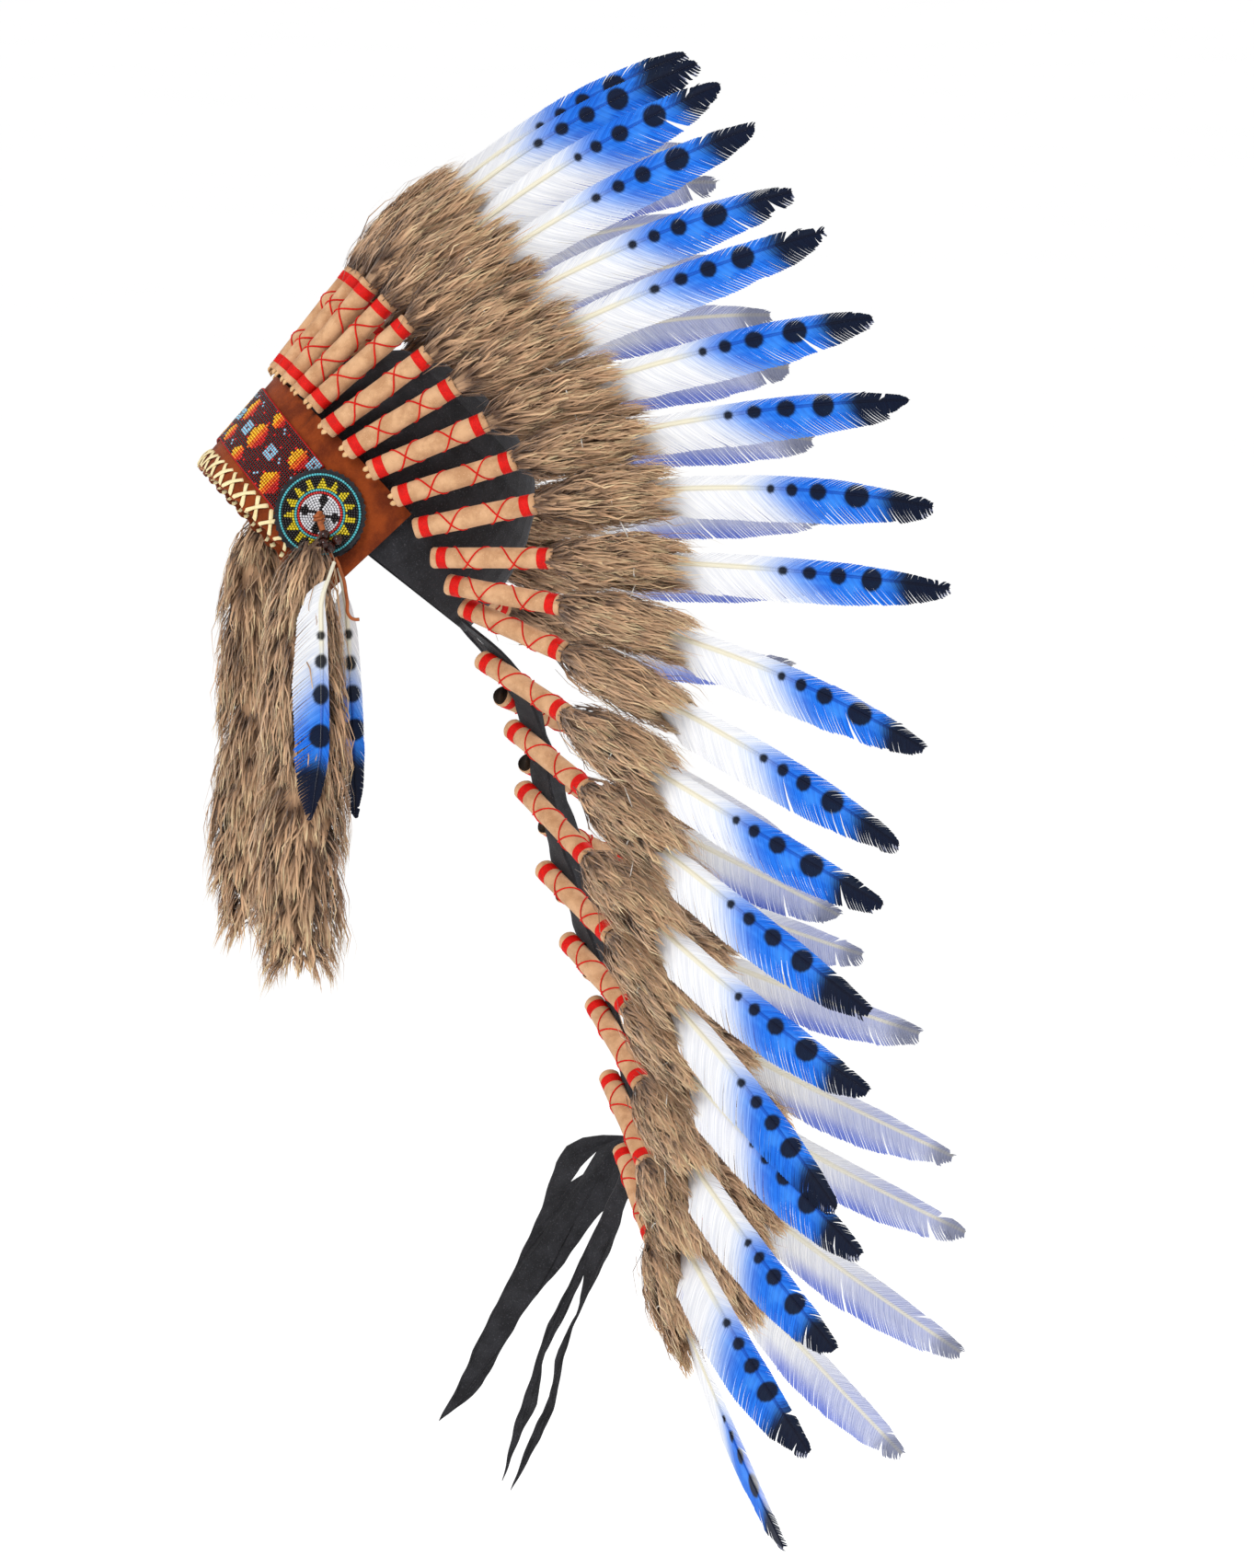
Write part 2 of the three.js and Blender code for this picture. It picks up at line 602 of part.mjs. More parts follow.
// ---- assembly ----
brow();
const rows = [];
for (const [side, word] of [[1, 'left'], [-1, 'right']]) {
  rosettes(side, word);
  rows.push(linked(crownUnits(side)));
  rows.push(linked(trailUnits(side)));
  add(`trail_${word}`, ribbon(rows.at(-1)), MATERIALS.felt);
  drops(side, word);
}
const units = rows.flat();
for (const unit of units) add(unit.name, unitSolid(unit, units), MATERIALS.feather);
add('tie_left', tie(1, TIE_LEFT), MATERIALS.felt);
add('tie_right', tie(-1, TIE_RIGHT, TIE_SLIT), MATERIALS.felt);
add('thong_tail', thongTail(), MATERIALS.thong);

export default headdress;
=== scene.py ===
import math
import bmesh
import bpy
import numpy as np
from mathutils import Matrix


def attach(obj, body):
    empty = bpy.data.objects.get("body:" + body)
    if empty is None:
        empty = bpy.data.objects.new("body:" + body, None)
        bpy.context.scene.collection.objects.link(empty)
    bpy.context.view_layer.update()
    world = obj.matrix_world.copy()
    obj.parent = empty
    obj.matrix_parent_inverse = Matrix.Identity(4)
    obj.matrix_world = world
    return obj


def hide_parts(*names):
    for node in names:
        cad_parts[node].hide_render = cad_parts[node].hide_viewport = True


# Feathered headdress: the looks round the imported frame. Tables in millimetres, objects in metres, +Z up.
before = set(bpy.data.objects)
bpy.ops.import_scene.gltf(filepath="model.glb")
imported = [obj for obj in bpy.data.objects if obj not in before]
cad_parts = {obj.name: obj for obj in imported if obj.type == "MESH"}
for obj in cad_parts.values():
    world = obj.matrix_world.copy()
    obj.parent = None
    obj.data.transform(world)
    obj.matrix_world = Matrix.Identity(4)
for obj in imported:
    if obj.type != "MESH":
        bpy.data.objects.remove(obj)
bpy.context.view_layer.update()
MM = 0.001
rng = np.random.default_rng(11)
link = bpy.context.scene.collection.objects.link


def axes_matrix(right, up, back, place):
    return Matrix([[right[i], up[i], back[i], place[i]] for i in range(3)] + [[0, 0, 0, 1]])


# ---- camera: at the wearer's left, a little to the front and above, long lens ----
AZIMUTH, ELEVATION = math.radians(-10.5), math.radians(8.0)
PICTURE_RIGHT = np.array((-math.sin(AZIMUTH), math.cos(AZIMUTH), 0.0))
TO_CAMERA = np.array((
    math.cos(ELEVATION) * math.cos(AZIMUTH), math.cos(ELEVATION) * math.sin(AZIMUTH), math.sin(ELEVATION),
))
PICTURE_UP = np.cross(TO_CAMERA, PICTURE_RIGHT)
DISTANCE, LENS = 7.0, 239.1  # metres, millimetres
AIM_RIGHT, AIM_UP = 0.1959, -0.1593  # metres in the picture from the origin to its middle
aim = AIM_RIGHT * PICTURE_RIGHT + AIM_UP * PICTURE_UP
camera = bpy.data.objects.new("camera", bpy.data.cameras.new("camera"))
camera.data.lens = LENS
camera.data.clip_end = 60
link(camera)
camera.matrix_world = axes_matrix(PICTURE_RIGHT, PICTURE_UP, TO_CAMERA, aim + DISTANCE * TO_CAMERA)
bpy.context.scene.camera = camera
bpy.context.scene.view_settings.view_transform = "Standard"


# ---- frames, as in the CAD ----
TILT = math.radians(47.6)
SIDE = np.array((1.0, 0.0, 0.0))
BACK = np.array((0.0, math.cos(TILT), -math.sin(TILT)))
UP = np.array((0.0, math.sin(TILT), math.cos(TILT)))
BAND_LENGTH, BAND_WIDTH, BAND_FLARE = 107, 80, 0.1
UNIT_LENGTH, BEND_START, BEND_MIDDLE = 352, 60, 0.545  # a feather unit, from its sleeve's foot
VANE_START, VANE_REACH = 150, 30  # the lowest barb's root; the offset from the quill that trace y counts as 1


def unit(v):
    return v / np.linalg.norm(v, axis=-1, keepdims=True)


def band_normal(place):
    a = np.radians(np.asarray(place, float))[..., None]
    return unit(-BAND_WIDTH * np.cos(a) * BACK + BAND_LENGTH * np.sin(a) * SIDE)


def band_point(place, height, standoff=0.0):
    """A point off the band's outer face, at degrees from the brow and a height over the head plane."""
    a = np.radians(np.asarray(place, float))[..., None]
    h = np.asarray(height, float)[..., None]
    length = BAND_LENGTH + BAND_FLARE * h * np.maximum(0, np.cos(a))
    point = -length * np.cos(a) * BACK + BAND_WIDTH * np.sin(a) * SIDE + h * UP
    return point + np.asarray(standoff, float)[..., None] * band_normal(place)


def turns(sides, shift=0):
    """The angles of a ring's points, shifted by a share of a step."""
    return 2 * np.pi * (np.arange(sides) + shift) / sides


def on_line(want, at, line):
    return np.stack([np.interp(want, at, line[:, i]) for i in range(3)], -1)


def direction(lean, splay):
    a, b = np.radians(lean), np.radians(splay)
    return np.stack([np.sin(b), np.cos(b) * np.cos(a), np.cos(b) * np.sin(a)], -1)


# ---- mesh building ----
def ride_root(piece, stands_for):
    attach(piece, "root")
    if stands_for:
        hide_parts(*stands_for)
    return piece


class Pile:
    """The vertices, faces and per-vertex values of one mesh, gathered in millimetres."""

    def __init__(self):
        self.points, self.traces, self.tints, self.faces, self.kinds = [], [], [], [], []
        self.count = 0

    def add(self, points, faces, trace=(0, 0, 0), tint=(1, 1, 1), kind=0):
        points = np.asarray(points, float).reshape(-1, 3)
        for values, kept in ((trace, self.traces), (tint, self.tints)):
            kept.append(np.broadcast_to(np.asarray(values, float), points.shape).reshape(-1, 3))
        for group in faces:
            group = np.asarray(group, int)
            self.faces.append(group + self.count)
            self.kinds.append(np.full(len(group), kind))
        self.points.append(points)
        self.count += len(points)

    def tubes(self, rings, trace=(0, 0, 0), tint=(1, 1, 1), kind=0):
        """rings (tubes, rings, sides, 3), closed flat at both ends."""
        m, n, k, _ = rings.shape
        around = rings[0, 0] - rings[0, 0].mean(0)
        spin_way = np.cross(around[0], around[1]) @ (rings[0, -1].mean(0) - rings[0, 0].mean(0))
        base = (np.arange(m) * n * k)[:, None, None]
        ring = (np.arange(n - 1) * k)[None, :, None]
        j = np.arange(k)[None, None, :]
        a, b = base + ring + j, base + ring + (j + 1) % k
        faces = [
            np.stack([a, b, b + k, a + k], -1).reshape(-1, 4), base[:, 0] + np.arange(k)[::-1],
            base[:, 0] + (n - 1) * k + np.arange(k),
        ]
        if spin_way <= 0:
            faces = [f[:, ::-1] for f in faces]
        trace, tint = (np.broadcast_to(v, rings.shape).reshape(-1, 3) for v in (trace, tint))
        self.add(rings, faces, trace, tint, kind)

    def rope(self, line, radius, sides, lean=(0.37, 0.21, 0.9), flatten=1.0, kind=0):
        """A tube along a line (n, 3). radius is (n,) or a number; flatten thins it along the lean direction."""
        lean = np.broadcast_to(np.asarray(lean, float), line.shape)
        tangent = unit(np.gradient(line, axis=0))
        b = unit(lean - (lean * tangent).sum(-1, keepdims=True) * tangent)
        c = np.cross(tangent, b)
        x, y = np.cos(turns(sides))[:, None], np.sin(turns(sides))[:, None]
        r = np.broadcast_to(np.asarray(radius, float), len(line))[:, None, None]
        self.tubes((line[:, None] + r * (flatten * x * b[:, None] + y * c[:, None]))[None], kind=kind)

    def piece(self, name, materials, slot, stands_for=()):
        mesh = bpy.data.meshes.new(name)
        points = (np.concatenate(self.points) * MM).astype(np.float32)
        loops = np.concatenate([f.ravel() for f in self.faces]).astype(np.int32)
        sizes = np.concatenate([np.full(len(f), f.shape[1]) for f in self.faces])
        mesh.vertices.add(len(points))
        mesh.vertices.foreach_set("co", points.ravel())
        mesh.loops.add(len(loops))
        mesh.loops.foreach_set("vertex_index", loops)
        mesh.polygons.add(len(sizes))
        mesh.polygons.foreach_set("loop_start", (np.cumsum(sizes) - sizes).astype(np.int32))
        mesh.polygons.foreach_set("material_index", np.concatenate(self.kinds).astype(np.int32))
        mesh.update(calc_edges=True)
        mesh.polygons.foreach_set("use_smooth", np.full(len(sizes), True))
        for word, kept in (("trace", self.traces), ("tint", self.tints)):
            layer = mesh.attributes.new(word, "FLOAT_VECTOR", "POINT")
            layer.data.foreach_set("vector", np.concatenate(kept).astype(np.float32).ravel())
        for m in materials:
            mesh.materials.append(m)
        mesh.validate()
        piece = bpy.data.objects.new(name, mesh)
        link(piece)
        return ride_root(piece, stands_for)


def smooth_line(points, count):
    """A Catmull-Rom line through points, evened out to count points."""
    p = np.asarray(points, float)
    p = np.concatenate([2 * p[:1] - p[1:2], p, 2 * p[-1:] - p[-2:-1]])
    t = np.linspace(0, 1, 12, endpoint=False)[:, None]
    out = []
    for a, b, c, d in zip(p, p[1:], p[2:], p[3:]):
        square, cube = 2 * a - 5 * b + 4 * c - d, 3 * b - a - 3 * c + d
        out.append(0.5 * (2 * b + (c - a) * t + square * t**2 + cube * t**3))
    line = np.concatenate([*out, p[-2:-1]])
    at = np.concatenate([[0], np.cumsum(np.linalg.norm(np.diff(line, axis=0), axis=1))])
    want = np.linspace(0, at[-1], count)
    return on_line(want, at, line)


# ---- materials ----
def rgb(r, g, b):
    """Linear colour from 0-255 screen values."""
    linear = [(((c / 255) + 0.055) / 1.055) ** 2.4 if c > 10 else c / 255 / 12.92 for c in (r, g, b)]
    return (*linear, 1.0)


class Nodes:
    """A short way to write a material's nodes."""

    def __init__(self, name, roughness=0.8, **values):
        self.material = bpy.data.materials.new(name)
        self.material.use_nodes = True
        self.tree = self.material.node_tree
        self.shader = self.tree.nodes["Principled BSDF"]
        self.shader.inputs["Roughness"].default_value = roughness
        for socket, value in values.items():
            self.shader.inputs[socket.replace("_", " ")].default_value = value

    def node(self, kind, settings=None, **inputs):
        node = self.tree.nodes.new(kind)
        for key, value in (settings or {}).items():
            setattr(node, key, value)
        for key, value in inputs.items():
            self.put(node.inputs[int(key[1:]) if key[1:].isdigit() else key.replace("_", " ")], value)
        return node

    def put(self, socket, value):
        if isinstance(value, bpy.types.NodeSocket):
            self.tree.links.new(value, socket)
        else:
            socket.default_value = value

    def math(self, operation, a, b=0.0, clamp=False):
        return self.node("ShaderNodeMath", {"operation": operation, "use_clamp": clamp}, i0=a, i1=b).outputs[0]

    def plus(self, a, b):
        return self.math("ADD", a, b)

    def minus(self, a, b):
        return self.math("SUBTRACT", a, b)

    def times(self, a, b):
        return self.math("MULTIPLY", a, b)

    def ramp(self, value, low, high, out_low=0.0, out_high=1.0):
        smooth = {"interpolation_type": "SMOOTHSTEP"}
        node = self.node("ShaderNodeMapRange", smooth, i0=value, i1=low, i2=high)
        node.inputs[3].default_value, node.inputs[4].default_value = out_low, out_high
        return node.outputs[0]

    def mix(self, share, a, b, blend="MIX"):
        node = self.node("ShaderNodeMix", {"data_type": "RGBA", "blend_type": blend})
        for socket, value in ((node.inputs[0], share), (node.inputs[6], a), (node.inputs[7], b)):
            self.put(socket, value)
        return node.outputs[2]

    def noise(self, vector, scale, detail=3.0, roughness=0.6):
        inputs = {"Vector": vector, "Scale": scale, "Detail": detail, "Roughness": roughness}
        return self.node("ShaderNodeTexNoise", **inputs).outputs[0]

    def trace(self, word="trace"):
        return self.node("ShaderNodeAttribute", {"attribute_name": word}).outputs["Vector"]

    def parts(self, vector):
        return self.node("ShaderNodeSeparateXYZ", Vector=vector).outputs

    def join(self, x, y, z):
        return self.node("ShaderNodeCombineXYZ", X=x, Y=y, Z=z).outputs[0]

    def place(self):
        return self.node("ShaderNodeTexCoord").outputs["Object"]

    def colour(self, value):
        self.put(self.shader.inputs["Base Color"], value)

    def bump(self, height, distance, strength=1.0):
        node = self.node("ShaderNodeBump", Height=height, Distance=distance, Strength=strength)
        self.tree.links.new(node.outputs[0], self.shader.inputs["Normal"])


def felt_material(name, dark, light, fleck, scale=900.0):
    n = Nodes(name, roughness=0.95, Sheen_Weight=0.08, Sheen_Roughness=0.6, Specular_IOR_Level=0.2)
    at = n.place()
    fibre = n.noise(at, scale, 4.0, 0.75)
    cloud = n.noise(at, scale / 12, 3.0)
    base = n.mix(n.ramp(cloud, 0.3, 0.7), dark, light)
    n.colour(n.mix(n.ramp(fibre, 0.56, 0.72, 0.0, 0.75), base, fleck))
    n.bump(n.plus(fibre, n.times(cloud, 0.6)), 0.0006, 0.7)
    return n.material


def suede_material():
    n = Nodes("suede", roughness=0.92, Sheen_Weight=0.1, Sheen_Roughness=0.5, Specular_IOR_Level=0.2)
    at = n.place()
    nap = n.noise(at, 1500.0, 4.0, 0.8)
    cloud = n.noise(at, 60.0, 5.0, 0.6)
    base = n.mix(n.ramp(cloud, 0.32, 0.68), rgb(100, 36, 8), rgb(144, 62, 18))
    n.colour(n.mix(n.ramp(nap, 0.5, 0.75, 0.0, 0.5), base, rgb(176, 88, 36)))
    n.bump(n.plus(nap, cloud), 0.0005, 0.6)
    return n.material


def bead_material():
    n = Nodes("seed_beads", roughness=0.2, Coat_Weight=0.12, Coat_Roughness=0.08)
    tint = n.trace("tint")
    cloud = n.noise(n.place(), 700.0, 1.0)
    darker = n.mix(1.0, tint, (0.55, 0.55, 0.55, 1), "MULTIPLY")
    n.colour(n.mix(n.ramp(cloud, 0.3, 0.7, 0.0, 0.3), tint, darker))
    n.bump(cloud, 0.0001, 0.2)
    return n.material


def dark_bead_material():
    n = Nodes("dark_bead", roughness=0.2, Specular_IOR_Level=0.4, Coat_Weight=0.15, Coat_Roughness=0.05)
    at = n.place()
    grain = n.noise(n.node("ShaderNodeMapping", Vector=at, Scale=(900, 900, 160)).outputs[0], 1.0, 3.0)
    n.colour(n.mix(n.ramp(grain, 0.35, 0.7), rgb(18, 5, 3), rgb(70, 22, 10)))
    n.bump(grain, 0.0001, 0.3)
    return n.material


def thread_material(name, dark, light, roughness=0.6):
    n = Nodes(name, roughness=roughness, Specular_IOR_Level=0.2)
    at = n.place()
    ply = n.noise(at, 2200.0, 2.0, 0.7)
    cloud = n.noise(at, 200.0, 2.0)
    both = n.plus(n.times(ply, 0.7), n.times(cloud, 0.3))
    n.colour(n.mix(n.ramp(both, 0.35, 0.65), dark, light))
    n.bump(ply, 0.0003, 0.7)
    return n.material


def lace_material(name, dark, light):
    n = Nodes(name, roughness=0.6)
    at = n.place()
    grain = n.noise(at, 900.0, 4.0, 0.7)
    cloud = n.noise(at, 120.0, 3.0)
    n.colour(n.mix(n.ramp(cloud, 0.3, 0.7), n.mix(n.ramp(grain, 0.3, 0.7), dark, light), light))
    n.bump(grain, 0.0004, 0.6)
    return n.material


def fur_material(name, root, middle, tip):
    """trace: x across the lock, y from root to tip, z a value of its own for each lock."""
    n = Nodes(name, roughness=0.55, Sheen_Weight=0.3, Sheen_Roughness=0.4, Anisotropic=0.4)
    x, y, z = n.parts(n.trace())
    stretched = n.join(n.plus(n.times(x, 5.0), n.times(z, 91.0)), n.times(y, 1.3), n.times(z, 37.0))
    streak = n.noise(stretched, 1.6, 4.0, 0.75)
    along = n.plus(y, n.times(n.minus(streak, 0.5), 0.6))
    base = n.mix(n.ramp(along, 0.02, 0.55), root, middle)
    gold = n.math("MULTIPLY", n.ramp(along, 0.4, 0.95), n.ramp(z, 0.35, 0.95, 0.1, 1.0), True)
    base = n.mix(gold, base, tip)
    shade = n.ramp(n.math("FRACT", n.times(z, 7.3)), 0.0, 1.0, 0.78, 1.14)
    n.colour(n.mix(1.0, base, n.join(shade, shade, shade), "MULTIPLY"))
    n.bump(streak, 0.0008, 0.8)
    return n.material


SPOTS = [(113, 2.8), (97, 4.2), (78.5, 5.6), (54, 7.6)]  # from the tip, radius


def feather_material(name, front, dye=0.0):
    """trace: x is 1 at the tip and 0 a unit's length before it, y off the quill, z is x at the barb's root."""
    n = Nodes(name, roughness=0.46 if front else 0.55, Specular_IOR_Level=0.12 if front else 0.3)
    x, y, z = n.parts(n.trace())
    from_tip = n.times(n.minus(1.0, x), float(UNIT_LENGTH))
    barb = n.times(n.minus(1.0, z), float(UNIT_LENGTH))  # the same at the barb's root
    off = n.times(y, float(VANE_REACH))
    aside = n.math("ABSOLUTE", off)
    streak = n.noise(n.join(n.times(barb, 0.9), n.times(off, 0.03), n.times(off, 0.01)), 1.0, 3.0, 0.7)
    fine = n.noise(n.join(n.times(barb, 2.6), n.times(off, 0.05), 0.0), 1.0, 2.0, 0.6)
    cloud = n.noise(n.join(n.times(from_tip, 0.05), n.times(off, 0.09), n.times(barb, 0.011)), 1.0, 2.0)
    mixed = n.plus(n.times(from_tip, 0.55), n.times(barb, 0.45))
    uneven = n.times(n.minus(streak, 0.5), 26.0)
    edge = n.plus(n.plus(mixed, uneven), n.times(n.math("MAXIMUM", off, 0.0), 0.8))
    white = n.mix(n.ramp(streak, 0.35, 0.65), rgb(222, 224, 230), rgb(246, 246, 247))
    white = n.mix(n.ramp(aside, 2.6, 0.6), white, rgb(232, 226, 204))
    if front:
        blue = n.mix(n.ramp(streak, 0.3, 0.7), rgb(12, 82, 196), rgb(34, 128, 242))
        blue = n.mix(n.ramp(cloud, 0.45, 0.75, 0.0, 0.55), blue, rgb(70, 152, 248))
        blue = n.mix(n.ramp(off, 14.0, 27.0, 0.0, 0.35), blue, rgb(110, 160, 240))
        blue = n.mix(n.ramp(aside, 1.6, 0.5, 0.0, 0.6), blue, rgb(10, 60, 168))
        shade = n.mix(n.ramp(edge, 158.0 + dye, 112.0 + dye), white, rgb(150, 186, 240))
        shade = n.mix(n.ramp(edge, 146.0 + dye, 104.0 + dye), shade, blue)
        for far, radius in SPOTS:
            along = n.minus(from_tip, far)
            across = n.minus(off, 0.12 * radius)
            reach = n.math("SQRT", n.plus(n.math("POWER", along, 2.0), n.math("POWER", across, 2.0)))
            reach = n.plus(reach, n.times(n.minus(fine, 0.5), 3.0))
            shade = n.mix(n.ramp(reach, radius + 1.3, radius - 1.0, 0.0, 0.96), shade, rgb(8, 9, 14))
        tip = n.plus(mixed, n.times(n.minus(streak, 0.5), 20.0))
        shade = n.mix(n.ramp(tip, 47.0, 30.0, 0.0, 0.97), shade, rgb(9, 9, 12))
    else:
        dyed = n.mix(n.ramp(streak, 0.3, 0.7), rgb(150, 160, 212), rgb(202, 208, 236))
        slanted = n.plus(edge, n.times(off, -2.2))
        shade = n.mix(n.ramp(slanted, 150.0 + dye, 60.0 + dye, 0.0, 0.85), white, dyed)
        rim = n.times(n.ramp(off, 9.0, 21.0), n.ramp(edge, 190.0, 150.0, 0.0, 0.8))
        shade = n.mix(rim, shade, rgb(72, 104, 214))
        shade = n.mix(n.ramp(aside, 1.8, 0.6, 0.0, 0.9), shade, rgb(228, 224, 208))
        shade = n.mix(n.ramp(mixed, 34.0, 14.0, 0.0, 0.75), shade, rgb(112, 116, 136))
    n.colour(shade)
    n.bump(n.plus(fine, n.times(streak, 0.7)), 0.0005, 0.55)
    return n.material


DARK = dark_bead_material()
FELT = felt_material("charcoal_felt", rgb(30, 30, 33), rgb(44, 44, 48), rgb(96, 96, 102))
TAN = felt_material("tan_felt", rgb(188, 140, 100), rgb(218, 172, 130), rgb(238, 204, 168), 1100.0)
# painted shade: the inside of each sleeve end is the tan felt drawn much darker, as the shade inside the hollow
SHADOW = felt_material("sleeve_inside_painted_shade", rgb(60, 42, 28), rgb(80, 58, 40), rgb(110, 84, 60))
SUEDE = suede_material()
BEADS = bead_material()
RED = thread_material("red_thread", rgb(186, 8, 6), rgb(238, 26, 14))
WARP = thread_material("warp_thread", rgb(120, 10, 10), rgb(196, 30, 24))
WHITE_THREAD = thread_material("white_thread", rgb(222, 220, 212), rgb(246, 244, 238))
LACE = lace_material("cream_lace", rgb(222, 196, 134), rgb(244, 228, 178))
THONG = lace_material("thong_leather", rgb(96, 44, 14), rgb(176, 92, 36))
NUB = lace_material("tan_lace", rgb(186, 136, 84), rgb(224, 182, 130))
FUR = fur_material("fur", rgb(92, 62, 40), rgb(216, 172, 132), rgb(255, 234, 184))
FRONT = feather_material("feather_front", True, -14.0)
BACKSIDE = feather_material("feather_back", False)
DROP_FRONT_SIDE = feather_material("drop_feather_front", True, -42.0)
DROP_BACK_SIDE = feather_material("drop_feather_back", False, -42.0)


# ---- the free cord first: the loose end of the left thong ----
THONG_ROUTE = [
    (93, -15, 4), (94, -13, 0), (94, -11, -6), (94, -9, -12), (94, -8, -19), (94, -7, -26),
    (94, -7, -32), (94, -5, -36), (94, -2, -37.5), (94, 1, -37.5),
]
THONG_THICK = 2.4
thong_line = smooth_line(THONG_ROUTE, 40)
pile = Pile()
pile.rope(thong_line, THONG_THICK / 2, 8)
thong_tail = pile.piece("thong_end", [THONG], "thong", ["thong_tail"])


# ---- feather units: the same lines as the CAD ----
CROWN = [  # place, height, standoff, lean, splay, left vane mean, right vane mean, twist
    (7.5, 51.5, 1, 51, 3, (34, 3), (30, 1), 50), (18, 51.5, 1, 51, 6, (34, 5), (26, 3), 52),
    (28, 51, 2, 46.5, 8, (33.5, 7), (20, 7), 46), (38, 51, 4, 42, 10, (30, 9), (17, 11), 38),
    (50, 46, 8, 37.5, 11, (24.5, 9), (15, 13), 26), (60.5, 46, 8, 32.5, 13, (23, 9), (12, 15), 14),
    (71, 48, 8, 24.5, 15, (15.5, 10), (9, 17), 4), (83, 48, 8, 19, 18, (9, 11), (6, 19), -4),
    (95.5, 44, 8, 14, 24, (0, 13), (1, 17), -14), (107.5, 39.5, 8, 2, 29, (-3.5, 18), (-2.5, 17), -26),
    (119.5, 35, 8, -8, 36, (-21, 25), (-6, 16), -44), (132.5, 33, 8, -23, 41, (-30, 29), (-15, 27), -56),
]
TRAIL_LEFT = [  # out, back, up, lean, splay, vane mean, twist
    (50, 91, -72, -33, 50, (-31, 36), -34), (48, 111, -119, -40, 52, (-39, 40), -38),
    (47, 119, -160, -50, 53, (-41, 38), -32), (47, 133, -215, -47, 54, (-53, 42), -50),
    (48, 149, -264, -51, 55, (-49, 48), -50), (50, 167, -307, -66, 54, (-58, 50), -54),
    (52, 177, -357, -75, 53, (-66, 49), -56), (54, 186, -407, -80, 53, (-74, 48), -4),
]
TRAIL_RIGHT = [
    (50, 121, -110, -26, 36, (-32, 29), -40), (48, 138, -156, -28, 36, (-29, 32), -34),
    (47, 151, -199, -29, 36, (-25, 33), -26), (47, 163, -246, -28, 34, (-24, 24), -18),
    (48, 182, -300, -32, 32, (-29, 17), -14), (50, 203, -346, -36, 32, (-31, 19), -16),
    (52, 215, -395, -42, 32, (-38, 15), -12), (54, 223, -440, -50, 32, (-48, 22), -30),
]


class Unit:
    def __init__(self, name, side, foot, lean, splay, vane, twist):
        self.name, self.side, self.foot = name, side, np.asarray(foot, float)
        self.lean, self.splay, self.vane, self.twist = lean, splay, vane, twist
        self.along = np.arange(0, UNIT_LENGTH + 1, 4.0)
        steps = self.heading(self.along[:-1] + 2) * 4
        self.line = np.concatenate([self.foot[None], self.foot + np.cumsum(steps, axis=0)])

    def heading(self, along):
        share = np.maximum(0, (along - BEND_START) / (UNIT_LENGTH - BEND_START)) / BEND_MIDDLE
        lean = self.lean + (self.vane[0] - self.lean) * share
        splay = self.splay + (self.vane[1] - self.splay) * share
        return direction(lean, splay) * np.array((self.side, 1, 1))

    def at(self, along):
        return on_line(along, self.along, self.line)

    def axes(self, along, turned=True):
        """heading, across towards the next unit, and face, the side that shows the spots."""
        h = self.heading(along)
        across = unit(self.next - (h @ self.next)[..., None] * h)
        face = np.cross(across, h) * self.side
        flat = np.interp(along, (130, 155, 175, 190), (0, 0.2, 0.6, 1)) if turned else np.zeros_like(along)
        turn = np.radians(self.twist * flat * self.side)[..., None]
        across, face = (v * np.cos(turn) + np.cross(h, v) * np.sin(turn) for v in (across, face))
        return h, across, face


def row_of_units(side, name, rows):
    """rows: foot, lean, splay, vane, twist. Each unit looks towards the next one."""
    word = "l" if side > 0 else "r"
    units = [Unit(name.format(word, i + 1), side, *row) for i, row in enumerate(rows)]
    for i, u in enumerate(units):
        u.next = unit(units[min(i + 1, len(units) - 1)].foot - units[max(i - 1, 0)].foot)
    return units


def crown_units(side):
    return row_of_units(side, "feather_{}{:02d}", [
        (band_point(side * place, height, standoff), lean, splay, left if side > 0 else right, twist)
        for place, height, standoff, lean, splay, left, right, twist in CROWN
    ])


def trail_units(side):
    return row_of_units(side, "trail_feather_{}{}", [
        ((side * out, back, up), *rest) for out, back, up, *rest in (TRAIL_LEFT if side > 0 else TRAIL_RIGHT)
    ])


# ---- feather vanes: bundles of barbs on both sides of a quill ----
BARB_PITCH = 2.5
BARB_SHARES = np.array((0, 0.33, 0.68, 0.97))  # where a barb's edges have points, up to its tip
QUILL_RINGS = 22


